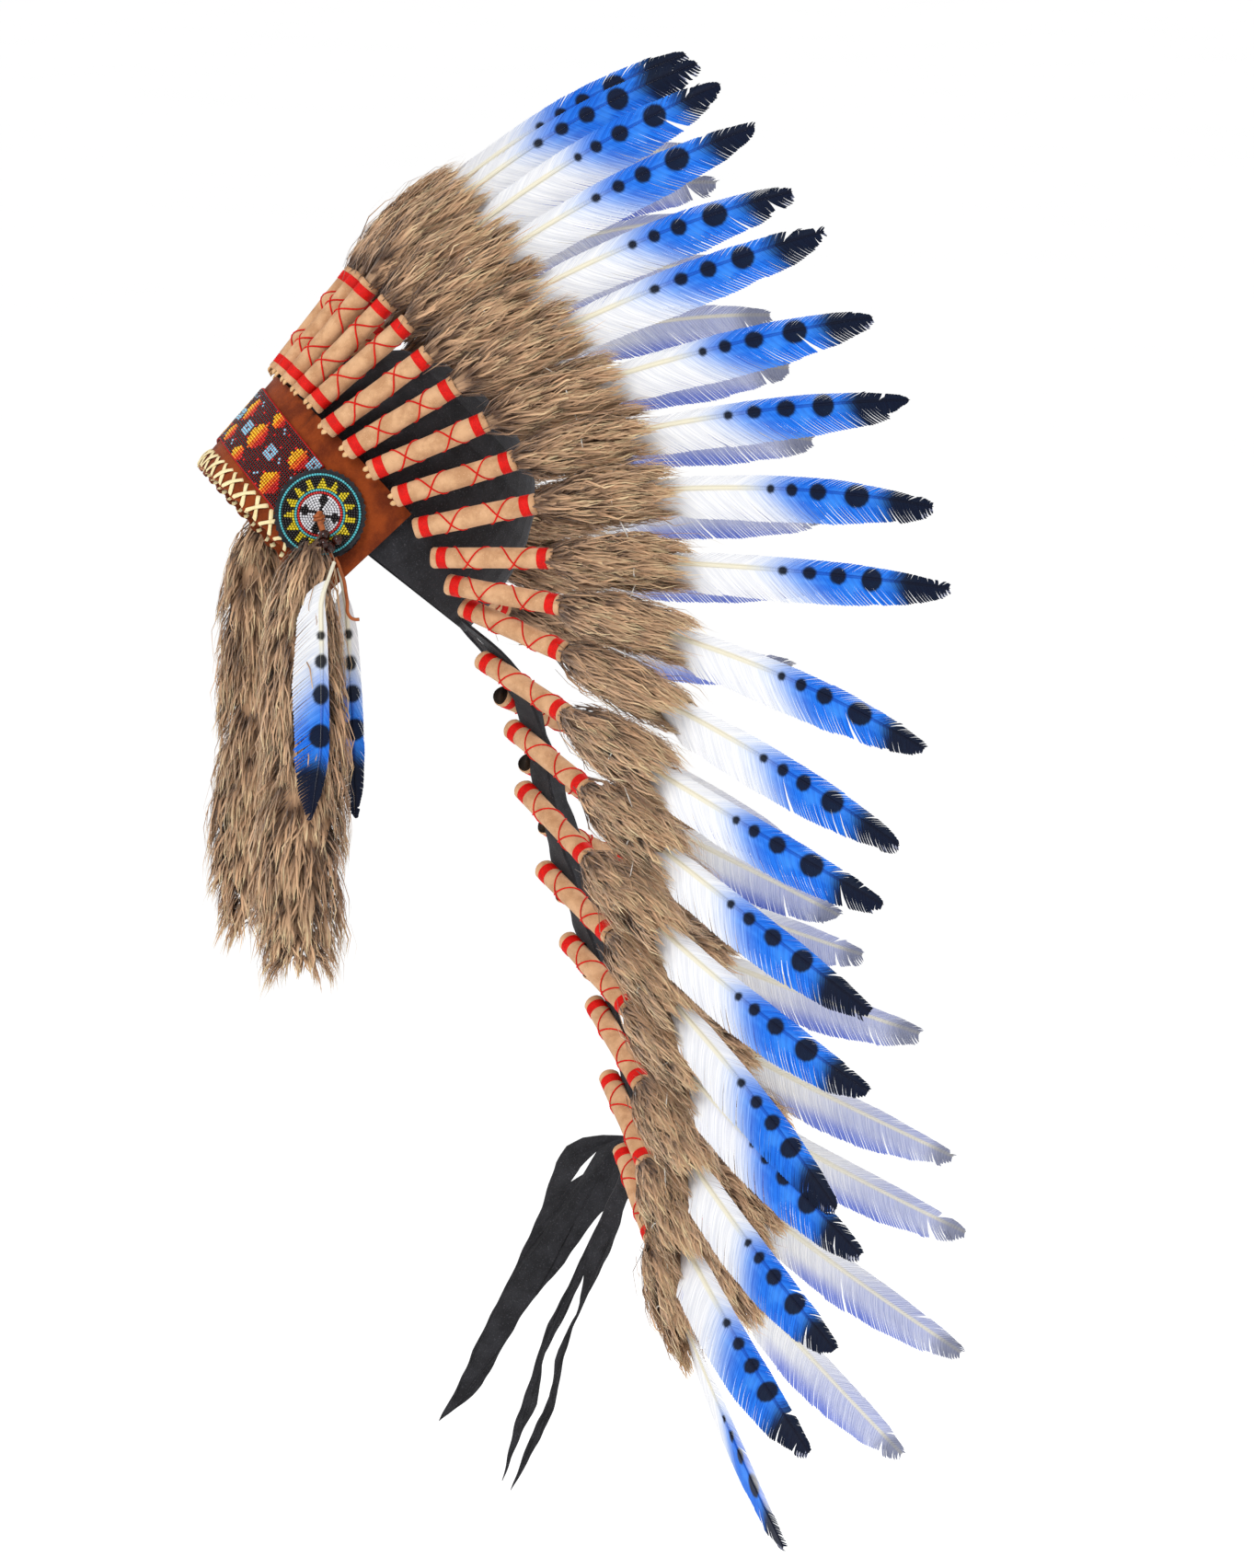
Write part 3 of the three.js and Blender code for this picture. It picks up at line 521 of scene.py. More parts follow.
def feather(name, slot, line, side, before, after, length, first, quill_from, materials, stands_for, scale=1.0):
    """line(along) gives the quill's point, heading, across and face. The widths are functions of along."""
    pile = Pile()
    shift, stretch, phase = rng.normal(0, 2.2), rng.normal(1, 0.03), rng.uniform(0, 6.28)

    def mark(along, off):
        from_tip = (length - along) * scale * stretch + shift
        from_tip = from_tip + 1.8 * np.sin(from_tip / 15 + phase)
        return 1 - from_tip / UNIT_LENGTH, off / VANE_REACH

    def marked(along, off, root):
        return np.stack([*mark(along, off), mark(root, 0)[0]], -1)

    def spine(along):
        return [p.reshape(np.shape(along) + (3,)) for p in line(np.ravel(along))]

    def surface(along, off, lift):
        point, _, across, face = spine(along)
        width = np.where(off > 0, after(along), before(along)) + 1
        camber = 1.6 * np.minimum(1.3, np.abs(off) / width) ** 2
        return point + off[..., None] * across + (lift - camber)[..., None] * face

    for way in (-1, 1):
        root = np.arange(first, length - 2, BARB_PITCH)
        m = len(root)
        split = np.interp(root, (first + 40, length - 70, length - 30), (0.035, 0.035, 0.16))
        groups = np.cumsum(rng.random(m) < split)
        loose = np.interp(root, (first, first + 35, length - 75, length - 25), (2.0, 0.75, 0.75, 2.0))
        group = lambda spread: rng.normal(0, spread, groups[-1] + 1)[groups]
        drift = (group(1.3) + rng.normal(0, 0.12, m)) * loose
        lift = group(0.3) * loose
        advance = (24 if way > 0 else 15) * (length / UNIT_LENGTH) ** 0.5
        advance = advance * (1 - ((root - first) / (length - first)) ** 4)
        end = np.minimum(root + advance, length - 0.3)
        wide = (after if way > 0 else before)(end) * (1 + 0.5 * group(0.05) * loose + rng.normal(0, 0.008, m))
        edges = []
        u = BARB_SHARES[None, :]
        for offset in (0.0, BARB_PITCH * 1.12):
            along = root[:, None] + offset + (end - root)[:, None] * (0.65 * u + 0.35 * u**2)
            along = along + drift[:, None] * u**2
            along = np.minimum(along - offset * 0.25 * u, length)
            off = way * wide[:, None] * u
            edges.append((along, off, root[:, None] + offset + 0 * along))
        tip_along = np.minimum(root + BARB_PITCH * 0.4 + (end - root) + drift, length + 0.5)
        tip_off = way * wide
        high = lift[:, None] * BARB_SHARES**2
        a = surface(edges[0][0], edges[0][1], high + 0.12)
        b = surface(edges[1][0], edges[1][1], high - 0.12)
        middle_along, middle_off = (edges[0][0] + edges[1][0]) / 2, (edges[0][1] + edges[1][1]) / 2
        c = surface(middle_along, middle_off, high - 0.35)
        tip = surface(tip_along, tip_off, lift)
        marks = [marked(*edge) for edge in edges]
        middle = (marks[0] + marks[1]) / 2
        end_mark = marked(tip_along, tip_off, root + BARB_PITCH / 2)
        n = 2 * len(BARB_SHARES)
        base = (np.arange(m) * (n + 1))[:, None]
        i = np.arange(0, n - 2, 2)
        quads = np.stack([base + i, base + i + 1, base + i + 3, base + i + 2], -1).reshape(-1, 4)
        ends = np.concatenate([base + n - 2, base + n - 1, base + n], 1)
        if way * side < 0:
            quads, ends = quads[:, ::-1], ends[:, ::-1]
        a, b, c, tip = (a, marks[0]), (b, marks[1]), (c, middle), (tip, end_mark)
        for kind, low, top in ((0, a, b), (1, c, a), (1, b, c)):  # the front in one strip, the back in two
            points, traces = (
                np.concatenate([np.stack([one, other], 2).reshape(m, n, 3), last[:, None]], 1).reshape(-1, 3)
                for one, other, last in zip(low, top, tip)
            )
            pile.add(points, [quads, ends], trace=traces, kind=kind)
    # The quill: round and pale below, flat and thin at the tip.
    along = np.linspace(quill_from, length - 1, QUILL_RINGS)
    point, _, across, face = spine(along)
    thick = np.interp(along, (quill_from, first + 60, length), (1.6, 1.2, 0.3))
    thick = thick * (0.75 + 0.25 * length / UNIT_LENGTH)
    angle = turns(6, 0.5)
    rings = (
        point[:, None] + (thick[:, None] * np.cos(angle))[..., None] * across[:, None]
        + (0.1 + 0.8 * thick[:, None] * np.sin(angle))[..., None] * face[:, None]
    )
    x, y = mark(along[:, None] + 0 * angle, thick[:, None] * np.cos(angle) * 0.4)
    for kind, sides in ((0, (0, 1, 2, 3)), (1, (3, 4, 5, 0))):
        strip = rings[:, sides]
        i, j = np.meshgrid(np.arange(QUILL_RINGS - 1), np.arange(3), indexing="ij")
        a = (i * 4 + j).ravel()
        quads = np.stack([a, a + 4, a + 5, a + 1], -1)[:, ::-side]
        pile.add(
            strip.reshape(-1, 3), [quads], kind=kind,
            trace=np.stack([x[:, sides], y[:, sides], x[:, sides]], -1).reshape(-1, 3),
        )
    return pile.piece(name, materials, slot, stands_for)


QUILL_START = 120  # under the fur
VANE_AT = (VANE_START, 165, 190, 205, 240, 285, 325, 345, UNIT_LENGTH)
VANE_BEFORE = (4, 6.5, 8, 8, 8.5, 8.5, 6.5, 4, 1.2)
VANE_AFTER = (10, 17, 21.5, 22, 23.5, 22, 16, 8.5, 2)


def unit_feather(u):
    wide, slim = rng.normal(1, 0.04), rng.normal(1, 0.06)
    return feather(
        f"vane_{u.name}", "feather_unit", lambda s: (u.at(np.minimum(s, UNIT_LENGTH)), *u.axes(s)), u.side,
        lambda s: np.interp(s, VANE_AT, VANE_BEFORE) * slim, lambda s: np.interp(s, VANE_AT, VANE_AFTER) * wide,
        UNIT_LENGTH, VANE_START, QUILL_START, [FRONT, BACKSIDE], [u.name],
    )


# ---- felt sleeves with their thread ----
def spin(u, along, angle, radius):
    """Points round a unit's straight sleeve."""
    h, across, face = u.axes(np.zeros(1), False)
    base = u.foot + np.asarray(along)[..., None] * h[0]
    ring = np.cos(angle)[..., None] * face[0] + np.sin(angle)[..., None] * across[0]
    return base + np.asarray(radius)[..., None] * ring


WRAPS, WRAP_TURNS = (7.8, 78.4), 5  # the red wraps: their middles along the sleeve
LACED = 8  # crown feathers on each side, from the brow, whose lace shows


def sleeve(u, laced):
    pile = Pile()
    sides = 18
    angle = turns(sides)
    profile = [  # along, radius: from inside the foot, over the felt, to inside the top
        (7, 3.9), (2.5, 4.6), (0.4, 5.2), (0, 6.3), (1.2, 7.1), (4, 7.0), (4.6, 6.5), (11, 6.5), (11.8, 6.95),
        (28, 7.0), (45, 6.9), (62, 7.0), (74.4, 6.95), (75.2, 6.5), (81.6, 6.5), (82.2, 7.0), (85, 7.15),
        (86, 6.3), (85.4, 5.0), (82, 4.4),
    ]
    s, r = (np.array(column, float)[:, None] + 0 * angle for column in zip(*profile))
    dents = rng.uniform(0, 6.28, 3)
    wave = 0.16 * np.sin(3 * angle + s / 14 + dents[0]) + 0.12 * np.sin(2 * angle - s / 9 + dents[1])
    outside = (np.abs(s - WRAPS[0]) > 3.5) & (np.abs(s - WRAPS[1]) > 3.5)
    uneven = 0.35 * np.sin(2 * angle + dents[2]) * (np.abs(s - 43) > 40)
    rings = spin(u, s + uneven, angle + 0 * s, r + wave * outside)
    pile.tubes(rings[None, 3:18], kind=0)
    # the inner walls at both ends take the felt with painted shade (kind 2)
    for inner in (rings[3::-1], rings[17:]):
        pile.tubes(inner[None], kind=2)
    for middle in WRAPS:
        s = middle + np.linspace(-3.3, 3.3, 2 * WRAP_TURNS + 1)
        r = np.where(np.arange(2 * WRAP_TURNS + 1) % 2, 7.25, 6.85)
        rings = spin(u, s[:, None] + 0 * angle, angle + 0 * s[:, None], r[:, None] + 0 * angle)
        pile.tubes(rings[None], kind=1)
    share = np.linspace(0, 1, 31)
    for way in (-1, 1):
        wound = math.pi + way * 4 * math.pi * share
        line = spin(u, 10.6 + 65 * share, wound, 7.35 + 0 * share)
        pile.rope(line, 0.6, 4, u.heading(np.zeros(1))[0], kind=1)
    if laced:  # a folded end of lace shows under the sleeve's foot
        _, across, face = u.axes(np.zeros(1), False)
        h = u.heading(np.zeros(1))[0]
        for offset in (-2.6, 2.4):
            start = u.foot + 4.6 * face[0] + offset * across[0]
            line = np.stack([start + 2 * h, start - 1.6 * h + 0.7 * face[0], start - 3.4 * h - 0.2 * face[0]])
            line = smooth_line(line, 7)
            radius = np.array((1.5, 1.7, 1.9, 2.0, 1.8, 1.3, 0.5))
            pile.rope(line, radius, 6, face[0], 0.55, kind=3)
    return pile.piece(f"sleeve_{u.name}", [TAN, RED, SHADOW, NUB], "feather_unit")


# ---- fur ----
def hairs(pile, root, tip, lift, width):
    """Flat, pointed hairs from root to tip points (m, 3), bowed towards lift."""
    m = len(root)
    chord = tip - root
    long = np.linalg.norm(chord, axis=1)[:, None, None]
    bow = unit(np.cross(np.cross(chord, lift), chord) + 1e-9)
    side = unit(np.cross(chord, bow))
    t = np.array((0, 0.33, 0.68, 1.0))[None, :, None]
    line = root[:, None] + chord[:, None] * t
    line = line + long * rng.normal(0.10, 0.05, (m, 1, 1)) * 4 * t * (1 - t) * bow[:, None]
    line = line + long * rng.normal(0, 0.04, (m, 1, 1)) * np.sin(2 * np.pi * t) * side[:, None]
    roll = rng.normal(0, 0.4, (m, 1))
    half = 0.5 * np.asarray(width, float)[:, None] * (np.cos(roll) * side + np.sin(roll) * bow)
    taper = np.array((0.7, 1.0, 0.66))[None, :, None]
    low, top = line[:, :3] - taper * half[:, None], line[:, :3] + taper * half[:, None]
    points = np.concatenate([np.stack([low, top], 2).reshape(m, 6, 3), line[:, 3:]], 1)
    across, along = np.array((0, 1, 0, 1, 0, 1, 0.5)), np.array((0, 0, 0.33, 0.33, 0.68, 0.68, 1))
    trace = np.stack(np.broadcast_arrays(across[None], along[None], rng.random((m, 1))), -1)
    base = 7 * np.arange(m)[:, None]
    quads = np.concatenate([base + np.array([[2, 3, 1, 0]]), base + np.array([[4, 5, 3, 2]])])
    ends = base + np.array([[6, 5, 4]])
    pile.add(points.reshape(-1, 3), [quads, ends], trace=trace.reshape(-1, 3))


def fur_clumps(pile, count, each, spread, root_at, tip_at, width):
    """Hairs in pointed clumps. root_at gives roots and outward ways, tip_at tips, for a and b of 0 to 1."""
    a, b = rng.random(count), (np.arange(count) + rng.random(count)) / count
    b = rng.permutation(b)
    roots, out = root_at(a, b)
    tips = tip_at(a, b)
    roots, tips, out = (np.repeat(v, each, axis=0) for v in (roots, tips, out))
    m = len(roots)
    roots = roots + rng.normal(0, spread, (m, 3))
    reach = rng.normal(0.96, 0.10, (m, 1))
    tips = roots + (tips + rng.normal(0, spread * 0.55, (m, 3)) - roots) * reach
    hairs(pile, roots, tips, out, rng.uniform(0.6, 1.4, m) * width)


def fur_body(pile, ring, at, sides, grow, trace):
    """The body under the hair. ring(at, angle, grow) gives its points, grow and trace are functions of both."""
    angle = turns(sides)
    grid_at, grid_a = (g.ravel() for g in np.meshgrid(at, angle, indexing="ij"))
    body, _ = ring(grid_at, grid_a, grow(grid_at, grid_a))
    shape = (1, len(at), sides, 3)
    pile.tubes(body.reshape(shape), trace=np.stack(trace(grid_at, grid_a), -1).reshape(shape))


TUFT_AT = (80, 90, 105, 130, 155, 175, 190)
TUFT_WIDE = (6, 9, 14, 18, 17, 11, 3)
TUFT_DEEP = (6, 8.5, 12, 13.5, 11.5, 7, 2)
TUFT_END = 196


def tuft(u, lumpy):
    pile = Pile()

    def ring(s, angle, grow):
        h, across, face = u.axes(s, False)
        wide = np.interp(s, TUFT_AT, TUFT_WIDE) * grow
        deep = np.interp(s, TUFT_AT, TUFT_DEEP) * grow
        out = (wide * np.sin(angle))[..., None] * across + (deep * np.cos(angle))[..., None] * face
        return u.at(s) + out, unit(out + 1e-6)

    phase = rng.uniform(0, 6.28, 3)
    shade = rng.random()

    def furrowed(s, angle):
        groove = 1 + 0.10 * np.sin(5 * angle + phase[0] + s / 30) + 0.07 * np.sin(9 * angle + phase[1] - s / 22)
        return 0.76 * groove * np.interp(s, (138, 164), (1, 0.12))

    fur_body(
        pile, ring, np.linspace(81, 164, 13), 22, furrowed,
        lambda s, angle: [angle / 1.2, 0.22 + 0.1 * np.sin(s / 6), 0 * s + shade],
    )

    def rooted(a):
        return 83 + 74 * a**0.9

    def root_at(a, b):
        return ring(rooted(a), 2 * np.pi * b, 0.72)

    def tip_at(a, b):
        s = rooted(a)
        length = (34 - 6 * a) * (1 + lumpy * 0.2 * np.sin(11 * b))
        reach = np.minimum(s + length, TUFT_END)
        half = np.minimum(s + 0.5 * length, 160)
        _, out = ring(reach, 2 * np.pi * b, 0.86)
        full, _ = ring(half, 2 * np.pi * b, 1.0)
        spread = np.linalg.norm(full - u.at(half), axis=1)[:, None]
        return u.at(reach) + out * spread * (0.98 + 0.10 * lumpy) + np.array((0, 0, -2.0))

    def long_tip_at(a, b):
        tips, s = tip_at(a, b), rooted(a)
        return tips + 9 * u.heading(s) + 3 * unit(tips - u.at(np.minimum(s + 34, TUFT_END)))

    fur_clumps(pile, 136, 11, 2.0, root_at, tip_at, 1.35)
    fur_clumps(pile, 100, 3, 3.4, root_at, long_tip_at, 0.65)
    return pile.piece(f"fur_{u.name}", [FUR], "feather_unit")


for side in (1, -1):
    for lumpy, units in enumerate((crown_units(side), trail_units(side))):
        for number, u in enumerate(units, 1):
            unit_feather(u)
            sleeve(u, not lumpy and number <= LACED)
            tuft(u, lumpy)


# ---- rosette backings: the CAD discs, in felt ----
for word in ("left", "right"):
    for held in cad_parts[f"rosette_backing_{word}"].material_slots:
        held.material = FELT


# ---- brow band: cream lacing along its lower edge ----
SCALLOPS = 43  # in a whole turn of the edge


def band_low(place):
    return -29.6 + 1.2 * np.cos(np.radians(place * SCALLOPS))


pile = Pile()
ARM = np.array([  # share across the cross, height over the edge, standoff
    (0.12, 2.5, -3.0), (0.06, 0.2, -2.9), (0.0, -1.0, -1.2), (0.02, -0.7, 0.6), (0.12, 1.0, 1.0),
    (0.5, 5.9, 1.0), (0.9, 10.8, 0.9), (1.0, 12.0, 0.1), (1.02, 12.2, -1.2),
])
for k in range(-10, 11):
    for way in (-1, 1):
        middle = k * 360 / SCALLOPS + rng.normal(0, 0.15)
        reach = 2.9 + rng.normal(0, 0.15)
        place = middle + way * reach * (2 * ARM[:, 0] - 1)
        lift = ARM[:, 2] + (1.0 if way > 0 else 0.0) * np.exp(-((ARM[:, 0] - 0.5) / 0.25) ** 2)
        line = smooth_line(band_point(place, band_low(middle) + ARM[:, 1], lift), 15)
        half = 1.45 + 0.2 * np.sin(np.linspace(0, 9, 15) + k)
        pile.rope(line, half, 8, band_normal(middle), 0.32)
pile.piece("band_lacing", [LACE], "suede")


# ---- loomed strip ----
def seed_beads(name, centre, axis, normal, tint, length, girth, stands_for):
    """A piece of short six-sided barrels along their axes."""
    centre, axis, normal, tint = (np.array(v) for v in (centre, axis, normal, tint))
    radius = rng.normal(girth, 0.03, len(centre))
    second = np.cross(axis, normal)
    angle = turns(6, 0.5)
    around = np.cos(angle)[:, None] * normal[:, None] + np.sin(angle)[:, None] * second[:, None]
    rings = []
    for share, size in ((-0.5, 0.55), (-0.28, 1.0), (0.28, 1.0), (0.5, 0.55)):
        rings.append(centre[:, None] + share * length * axis[:, None] + size * radius[:, None, None] * around)
    rings = np.stack(rings, 1)
    pile = Pile()
    pile.tubes(rings, tint=np.broadcast_to(tint[:, None, None], rings.shape))
    pile.piece(name, [BEADS], "beadwork" if stands_for == "bead_strip" else "rosette_beads", [stands_for])


INK = {
    "black": (20, 10, 12), "yellow": (250, 196, 20), "orange": (244, 112, 14), "red": (206, 24, 16),
    "pale": (140, 206, 232), "white": (228, 228, 232), "sea": (80, 186, 196), "lemon": (228, 204, 24),
}


def ink_colour(ink):
    return np.array(rgb(*INK[ink])[:3])


FLAMES = [  # column from the brow, row, half length, half height
    (7, 4, 3.6, 4.6), (6, -7, 3.6, 3.6), (22, 0, 4.8, 5.2), (25, 9.5, 3.8, 3.2), (20, -9.5, 3.8, 3.2),
    (43, 6, 4.4, 4.4), (41, -7, 4.4, 4.6), (55, 1, 4.4, 4.4),
]
FLOWERS = [(1, 0), (14, -1), (32, 0), (49, 9), (49, -3)]  # column, row
DOTS = {
    (2, 8), (3, 9), (11, 9), (12, 8), (2, -9), (12, -8), (13, -9), (30, 9), (31, 8), (33, -9), (34, -8),
    (37, 1), (38, 0), (46, 0), (47, 1), (51, -10),
}


def strip_ink(column, row):
    """Stepped flames, yellow through orange to red, with small pale flowers, on a dark ground."""
    column = abs(column)
    for start, middle, long, half in FLAMES:
        u, v = (column - start) / long, (row - middle) / half
        if abs(u) ** 1.4 + abs(v) ** 1.4 <= 1.0:
            return "yellow" if u < -0.1 else "orange" if u < 0.3 else "red"
    for start, middle in FLOWERS:
        u, v = abs(column - start), abs(row - middle)
        if 0.9 < max(u, v, 0.7 * (u + v)) < 2.9:
            return "pale"
    if (column, row) in DOTS:
        return "pale"
    return "red" if (column * 7 + row * 13) % 29 == 0 else "black"


ROWS, ROW_PITCH, COLUMN_PITCH = 23, 1.9, 1.75
STRIP_HEIGHT, STRIP_LIFT = 15.0, 1.25


def strip_middle(place):
    return STRIP_HEIGHT - 0.15 * np.abs(place)


fine = np.linspace(0, 57.6, 400)
steps = np.diff(band_point(fine, STRIP_HEIGHT, STRIP_LIFT), axis=0)
arc = np.concatenate([[0], np.cumsum(np.linalg.norm(steps, axis=1))])
columns = int(arc[-1] / COLUMN_PITCH)
centres, normals, axes, tints = [], [], [], []
for column in range(-columns, columns + 1):
    place = float(np.sign(column) * np.interp(abs(column) * COLUMN_PITCH, arc, fine))
    for row in range(ROWS):
        height = strip_middle(place) + (row - 11) * ROW_PITCH + rng.normal(0, 0.06)
        centres.append(band_point(place + rng.normal(0, 0.03), height, STRIP_LIFT + rng.normal(0, 0.05)))
        normals.append(band_normal(place))
        axes.append(UP)
        tints.append(ink_colour(strip_ink(column, row - 11)) * rng.uniform(0.82, 1.12))
seed_beads("loomed_beads", centres, axes, normals, tints, 1.72, 0.86, "bead_strip")

pile = Pile()
places = np.linspace(-58, 58, 90)
for row in range(ROWS + 1):
    height = strip_middle(places) + (row - 11.5) * ROW_PITCH
    edge = row in (0, ROWS)
    line = band_point(places, height, 1.3 if edge else 1.55)
    pile.rope(line, 0.75 if edge else 0.26, 6 if edge else 4, UP)
# a thin ground under the beads
corners = [(-21.6, 0.35), (21.6, 0.35), (21.6, 0.7), (-21.6, 0.7)]
rings = np.stack([band_point(places, strip_middle(places) + h, d) for h, d in corners], 1)
pile.tubes(rings[None])
pile.piece("warp_threads", [WARP], "beadwork")


# ---- rosettes ----
ROSETTE_PLACE, ROSETTE_HEIGHT, ROSETTE_LIFT = 69.5, 4.4, 3.7
BEAD_CIRCLES, RAYS = 15, 15


def rosette(side, word):
    normal = band_normal(side * ROSETTE_PLACE)
    across = np.cross(UP, normal)
    base = band_point(side * ROSETTE_PLACE, ROSETTE_HEIGHT, ROSETTE_LIFT)
    centres, axes, tints = [], [], []
    for j in range(BEAD_CIRCLES):
        radius = 26.6 - 1.74 * j
        count = max(6, int(2 * math.pi * radius / 1.78))
        for i in range(count):
            turn = 2 * math.pi * (i + 0.3 * j) / count
            ray = (turn / (2 * math.pi) * RAYS) % 1
            reach = abs(ray - 0.5) * 2 * math.pi * radius / RAYS
            star = abs((turn / (math.pi / 2) + 0.15) % 1 - 0.5) * radius * math.pi / 2
            if j in (0, 6):
                ink = "sea"
            elif j < 6:
                ink = "lemon" if reach < (0, 0, 0.9, 1.8, 2.2, 3.0)[j] else "black"
            elif j == 7:
                ink = "red"
            else:
                ink = "black" if star < (2.4, 3.2, 2.2, 1.4, 1.2, 0.9, 0.9)[j - 8] else "white"
            out = math.cos(turn) * across + math.sin(turn) * UP
            centres.append(base + radius * out + (0.85 + rng.normal(0, 0.05)) * normal)
            axes.append(np.cross(normal, out))
            tints.append(ink_colour(ink) * rng.uniform(0.84, 1.1))
    normals = [normal] * len(centres)
    seed_beads(f"rosette_seed_beads_{word}", centres, axes, normals, tints, 1.6, 0.84, f"rosette_beads_{word}")
    # the stitched ground under the beads
    pile = Pile()
    turn = turns(60)
    rings = []
    for radius, lift in ((26.8, 0.05), (27.4, 0.25), (27.2, 0.55), (26.4, 0.65), (20, 0.5), (8, 0.5)):
        out = np.cos(turn)[:, None] * across + np.sin(turn)[:, None] * UP
        rings.append(base + radius * out + lift * normal)
    pile.tubes(np.stack(rings)[None])
    pile.piece(f"rosette_ground_{word}", [FELT], "rosette_beads")


# ---- side drops ----
DROP_ROWS = np.array([  # out, back, up, half, deep
    (97, -30, 14, 7, 6), (98, -39, -12, 17, 12), (98, -39, -49, 25, 13), (98, -36, -103, 27, 13),
    (98, -38, -158, 28, 13), (98, -42, -206, 29, 13), (98, -43, -242, 29, 13), (98, -38, -268, 22, 11),
    (98, -27, -286, 8, 6),
], float)
DROP_FRONT = np.array([
    (102, -17, 2), (114, -25, -14), (116.5, -28, -24), (118, -28, -52), (118, -28, -90), (118, -29, -122),
    (119, -33, -148), (119.5, -36, -168),
], float)
DROP_BACK = np.array([(82.5, back, up) for back, up in (
    (-11, -4), (-8, -18), (-6, -30), (-4, -62), (-2, -99), (-1, -130), (0, -155), (0, -173),
)], float)


def drop_fur(side, word):
    pile = Pile()

    def ring(up, angle, grow):
        out, back, half, deep = (np.interp(-up, -DROP_ROWS[:, 2], DROP_ROWS[:, i]) for i in (0, 1, 3, 4))
        offset = np.stack([side * grow * deep * np.sin(angle), grow * half * np.cos(angle), 0 * up], -1)
        return np.stack([side * out, back, up], -1) + offset, unit(offset + 1e-6)

    def furrowed(up, angle):
        groove = 0.68 * (1 + 0.08 * np.sin(5 * angle + up / 24) + 0.07 * np.sin(up / 9 + 2 * angle))
        return groove * np.interp(-up, (215, 256), (1, 0.2))

    fur_body(
        pile, ring, np.linspace(12, -256, 30), 24, furrowed,
        lambda up, angle: [angle / 1.2, 0.25 + 0.12 * np.sin(up / 5), 0.4 + 0 * angle],
    )

    def root_at(a, b):
        return ring(14 - 276 * b, 2 * np.pi * a, 0.7 * np.interp(b, (0.9, 1), (1, 0.6)))

    def tip_at(a, b):
        up = 14 - 276 * b
        down = 30 + 8 * np.sin(17 * b + 5 * a) - 10 * np.clip(b - 0.85, 0, 1) / 0.15
        point, out = ring(np.maximum(up - down * 0.6, -255), 2 * np.pi * a, 1.0)
        point[:, 2] = up - down
        return point + out * np.array((0.6, 2.4, 0))

    def long_tip_at(a, b):
        return tip_at(a, b) + np.array((side * 1.0, 0, -5.0))

    fur_clumps(pile, 460, 10, 2.4, root_at, tip_at, 1.5)
    fur_clumps(pile, 260, 4, 3.6, root_at, long_tip_at, 0.7)
    pile.piece(f"drop_hair_{word}", [FUR], "fur", [f"drop_fur_{word}"])


def drop_feather(side, word, which, points, before, after, front_side):
    """front_side is 1 where the wide side of the vane is towards the back, -1 where towards the brow."""
    path = smooth_line(points * np.array((side, 1, 1)), 60)
    length = float(np.linalg.norm(np.diff(path, axis=0), axis=1).sum())
    at = np.linspace(0, length, len(path))
    tangent = unit(np.gradient(path, axis=0))
    facing = np.array((side * 1.0, 0.12, 0.0))

    def line(along):
        flat = np.clip(along, 0, length)
        point, heading = on_line(flat, at, path), unit(on_line(flat, at, tangent))
        face = unit(facing - (heading @ facing)[:, None] * heading)
        return point, heading, np.cross(heading, face) * side * front_side, face

    share = np.array((0.1, 0.25, 0.5, 0.75, 0.9, 1.0)) * length
    feather(
        f"drop_vane_{which}_{word}", "drop_feather", line, side * front_side,
        lambda s: np.interp(s, share, before), lambda s: np.interp(s, share, after),
        length, 14, 0, [DROP_FRONT_SIDE, DROP_BACK_SIDE], [f"drop_feather_{which}_{word}"], 0.92,
    )


DROP_LACE = np.array([  # from the rosette's middle, round the knot, down through the beads
    (80, -22.5, 31), (84, -24, 32.5), (86.5, -24.5, 30), (88.5, -22.5, 22), (91, -19.5, 12), (92.6, -17, 4),
])
DROP_KNOT = np.array((85.5, -24.4, 29.5))
DROP_BEADS = [  # middle, radius
    (89.5, -21.5, 18.5, 4.0), (92.0, -18.6, 10.6, 4.3), (89.6, -25.8, 13.0, 3.8), (95.2, -22.6, 13.8, 3.6),
    (91.8, -13.2, 15.6, 3.8),
]


def drop_beads(side, word):
    mirror = np.array((side, 1, 1))
    pile = Pile()
    path = smooth_line(DROP_LACE * mirror, 24)
    radius = np.interp(np.linspace(0, 1, len(path)), (0, 0.3, 1), (2.4, 2.2, 1.3))
    pile.rope(path, radius, 8, (1, 0, 0), 0.6)
    turn = np.linspace(0, 4 * math.pi, 34)
    rise = np.linspace(-2.2, 2.4, len(turn)) + 0.5 * np.sin(turn)
    wraps = DROP_KNOT * mirror + np.stack([2.4 * np.cos(turn) * side, 2.9 * np.sin(turn), rise], -1)
    pile.rope(wraps, 1.25, 6, (0, 0, 1))
    pile.piece(f"drop_lace_{word}", [THONG], "thong")
    pile = Pile()
    for x, y, z, radius in DROP_BEADS:
        axis = unit(rng.normal(0, 0.3, 3) + np.array((0.3, 0.2, -1)))
        share = np.linspace(-1, 1, 9)
        girth = np.sqrt(np.clip(1 - (0.92 * share) ** 2, 0.06, 1)) * radius
        line = np.array((x, y, z)) * mirror + share[:, None] * radius * 0.86 * axis
        pile.rope(line, girth, 14)
    pile.piece(f"drop_dark_beads_{word}", [DARK], "dark_beads", [f"drop_beads_{word}"])


for side, word in ((1, "left"), (-1, "right")):
    rosette(side, word)
    drop_fur(side, word)
    drop_feather(side, word, "front", DROP_FRONT, (1.5, 4, 5, 6, 5, 1), (5, 17, 21, 18, 11, 1.5), 1)
    drop_feather(side, word, "back", DROP_BACK, (4, 12, 15, 14, 9, 1), (2, 7, 8, 8, 6, 1.5), -1)
    drop_beads(side, word)


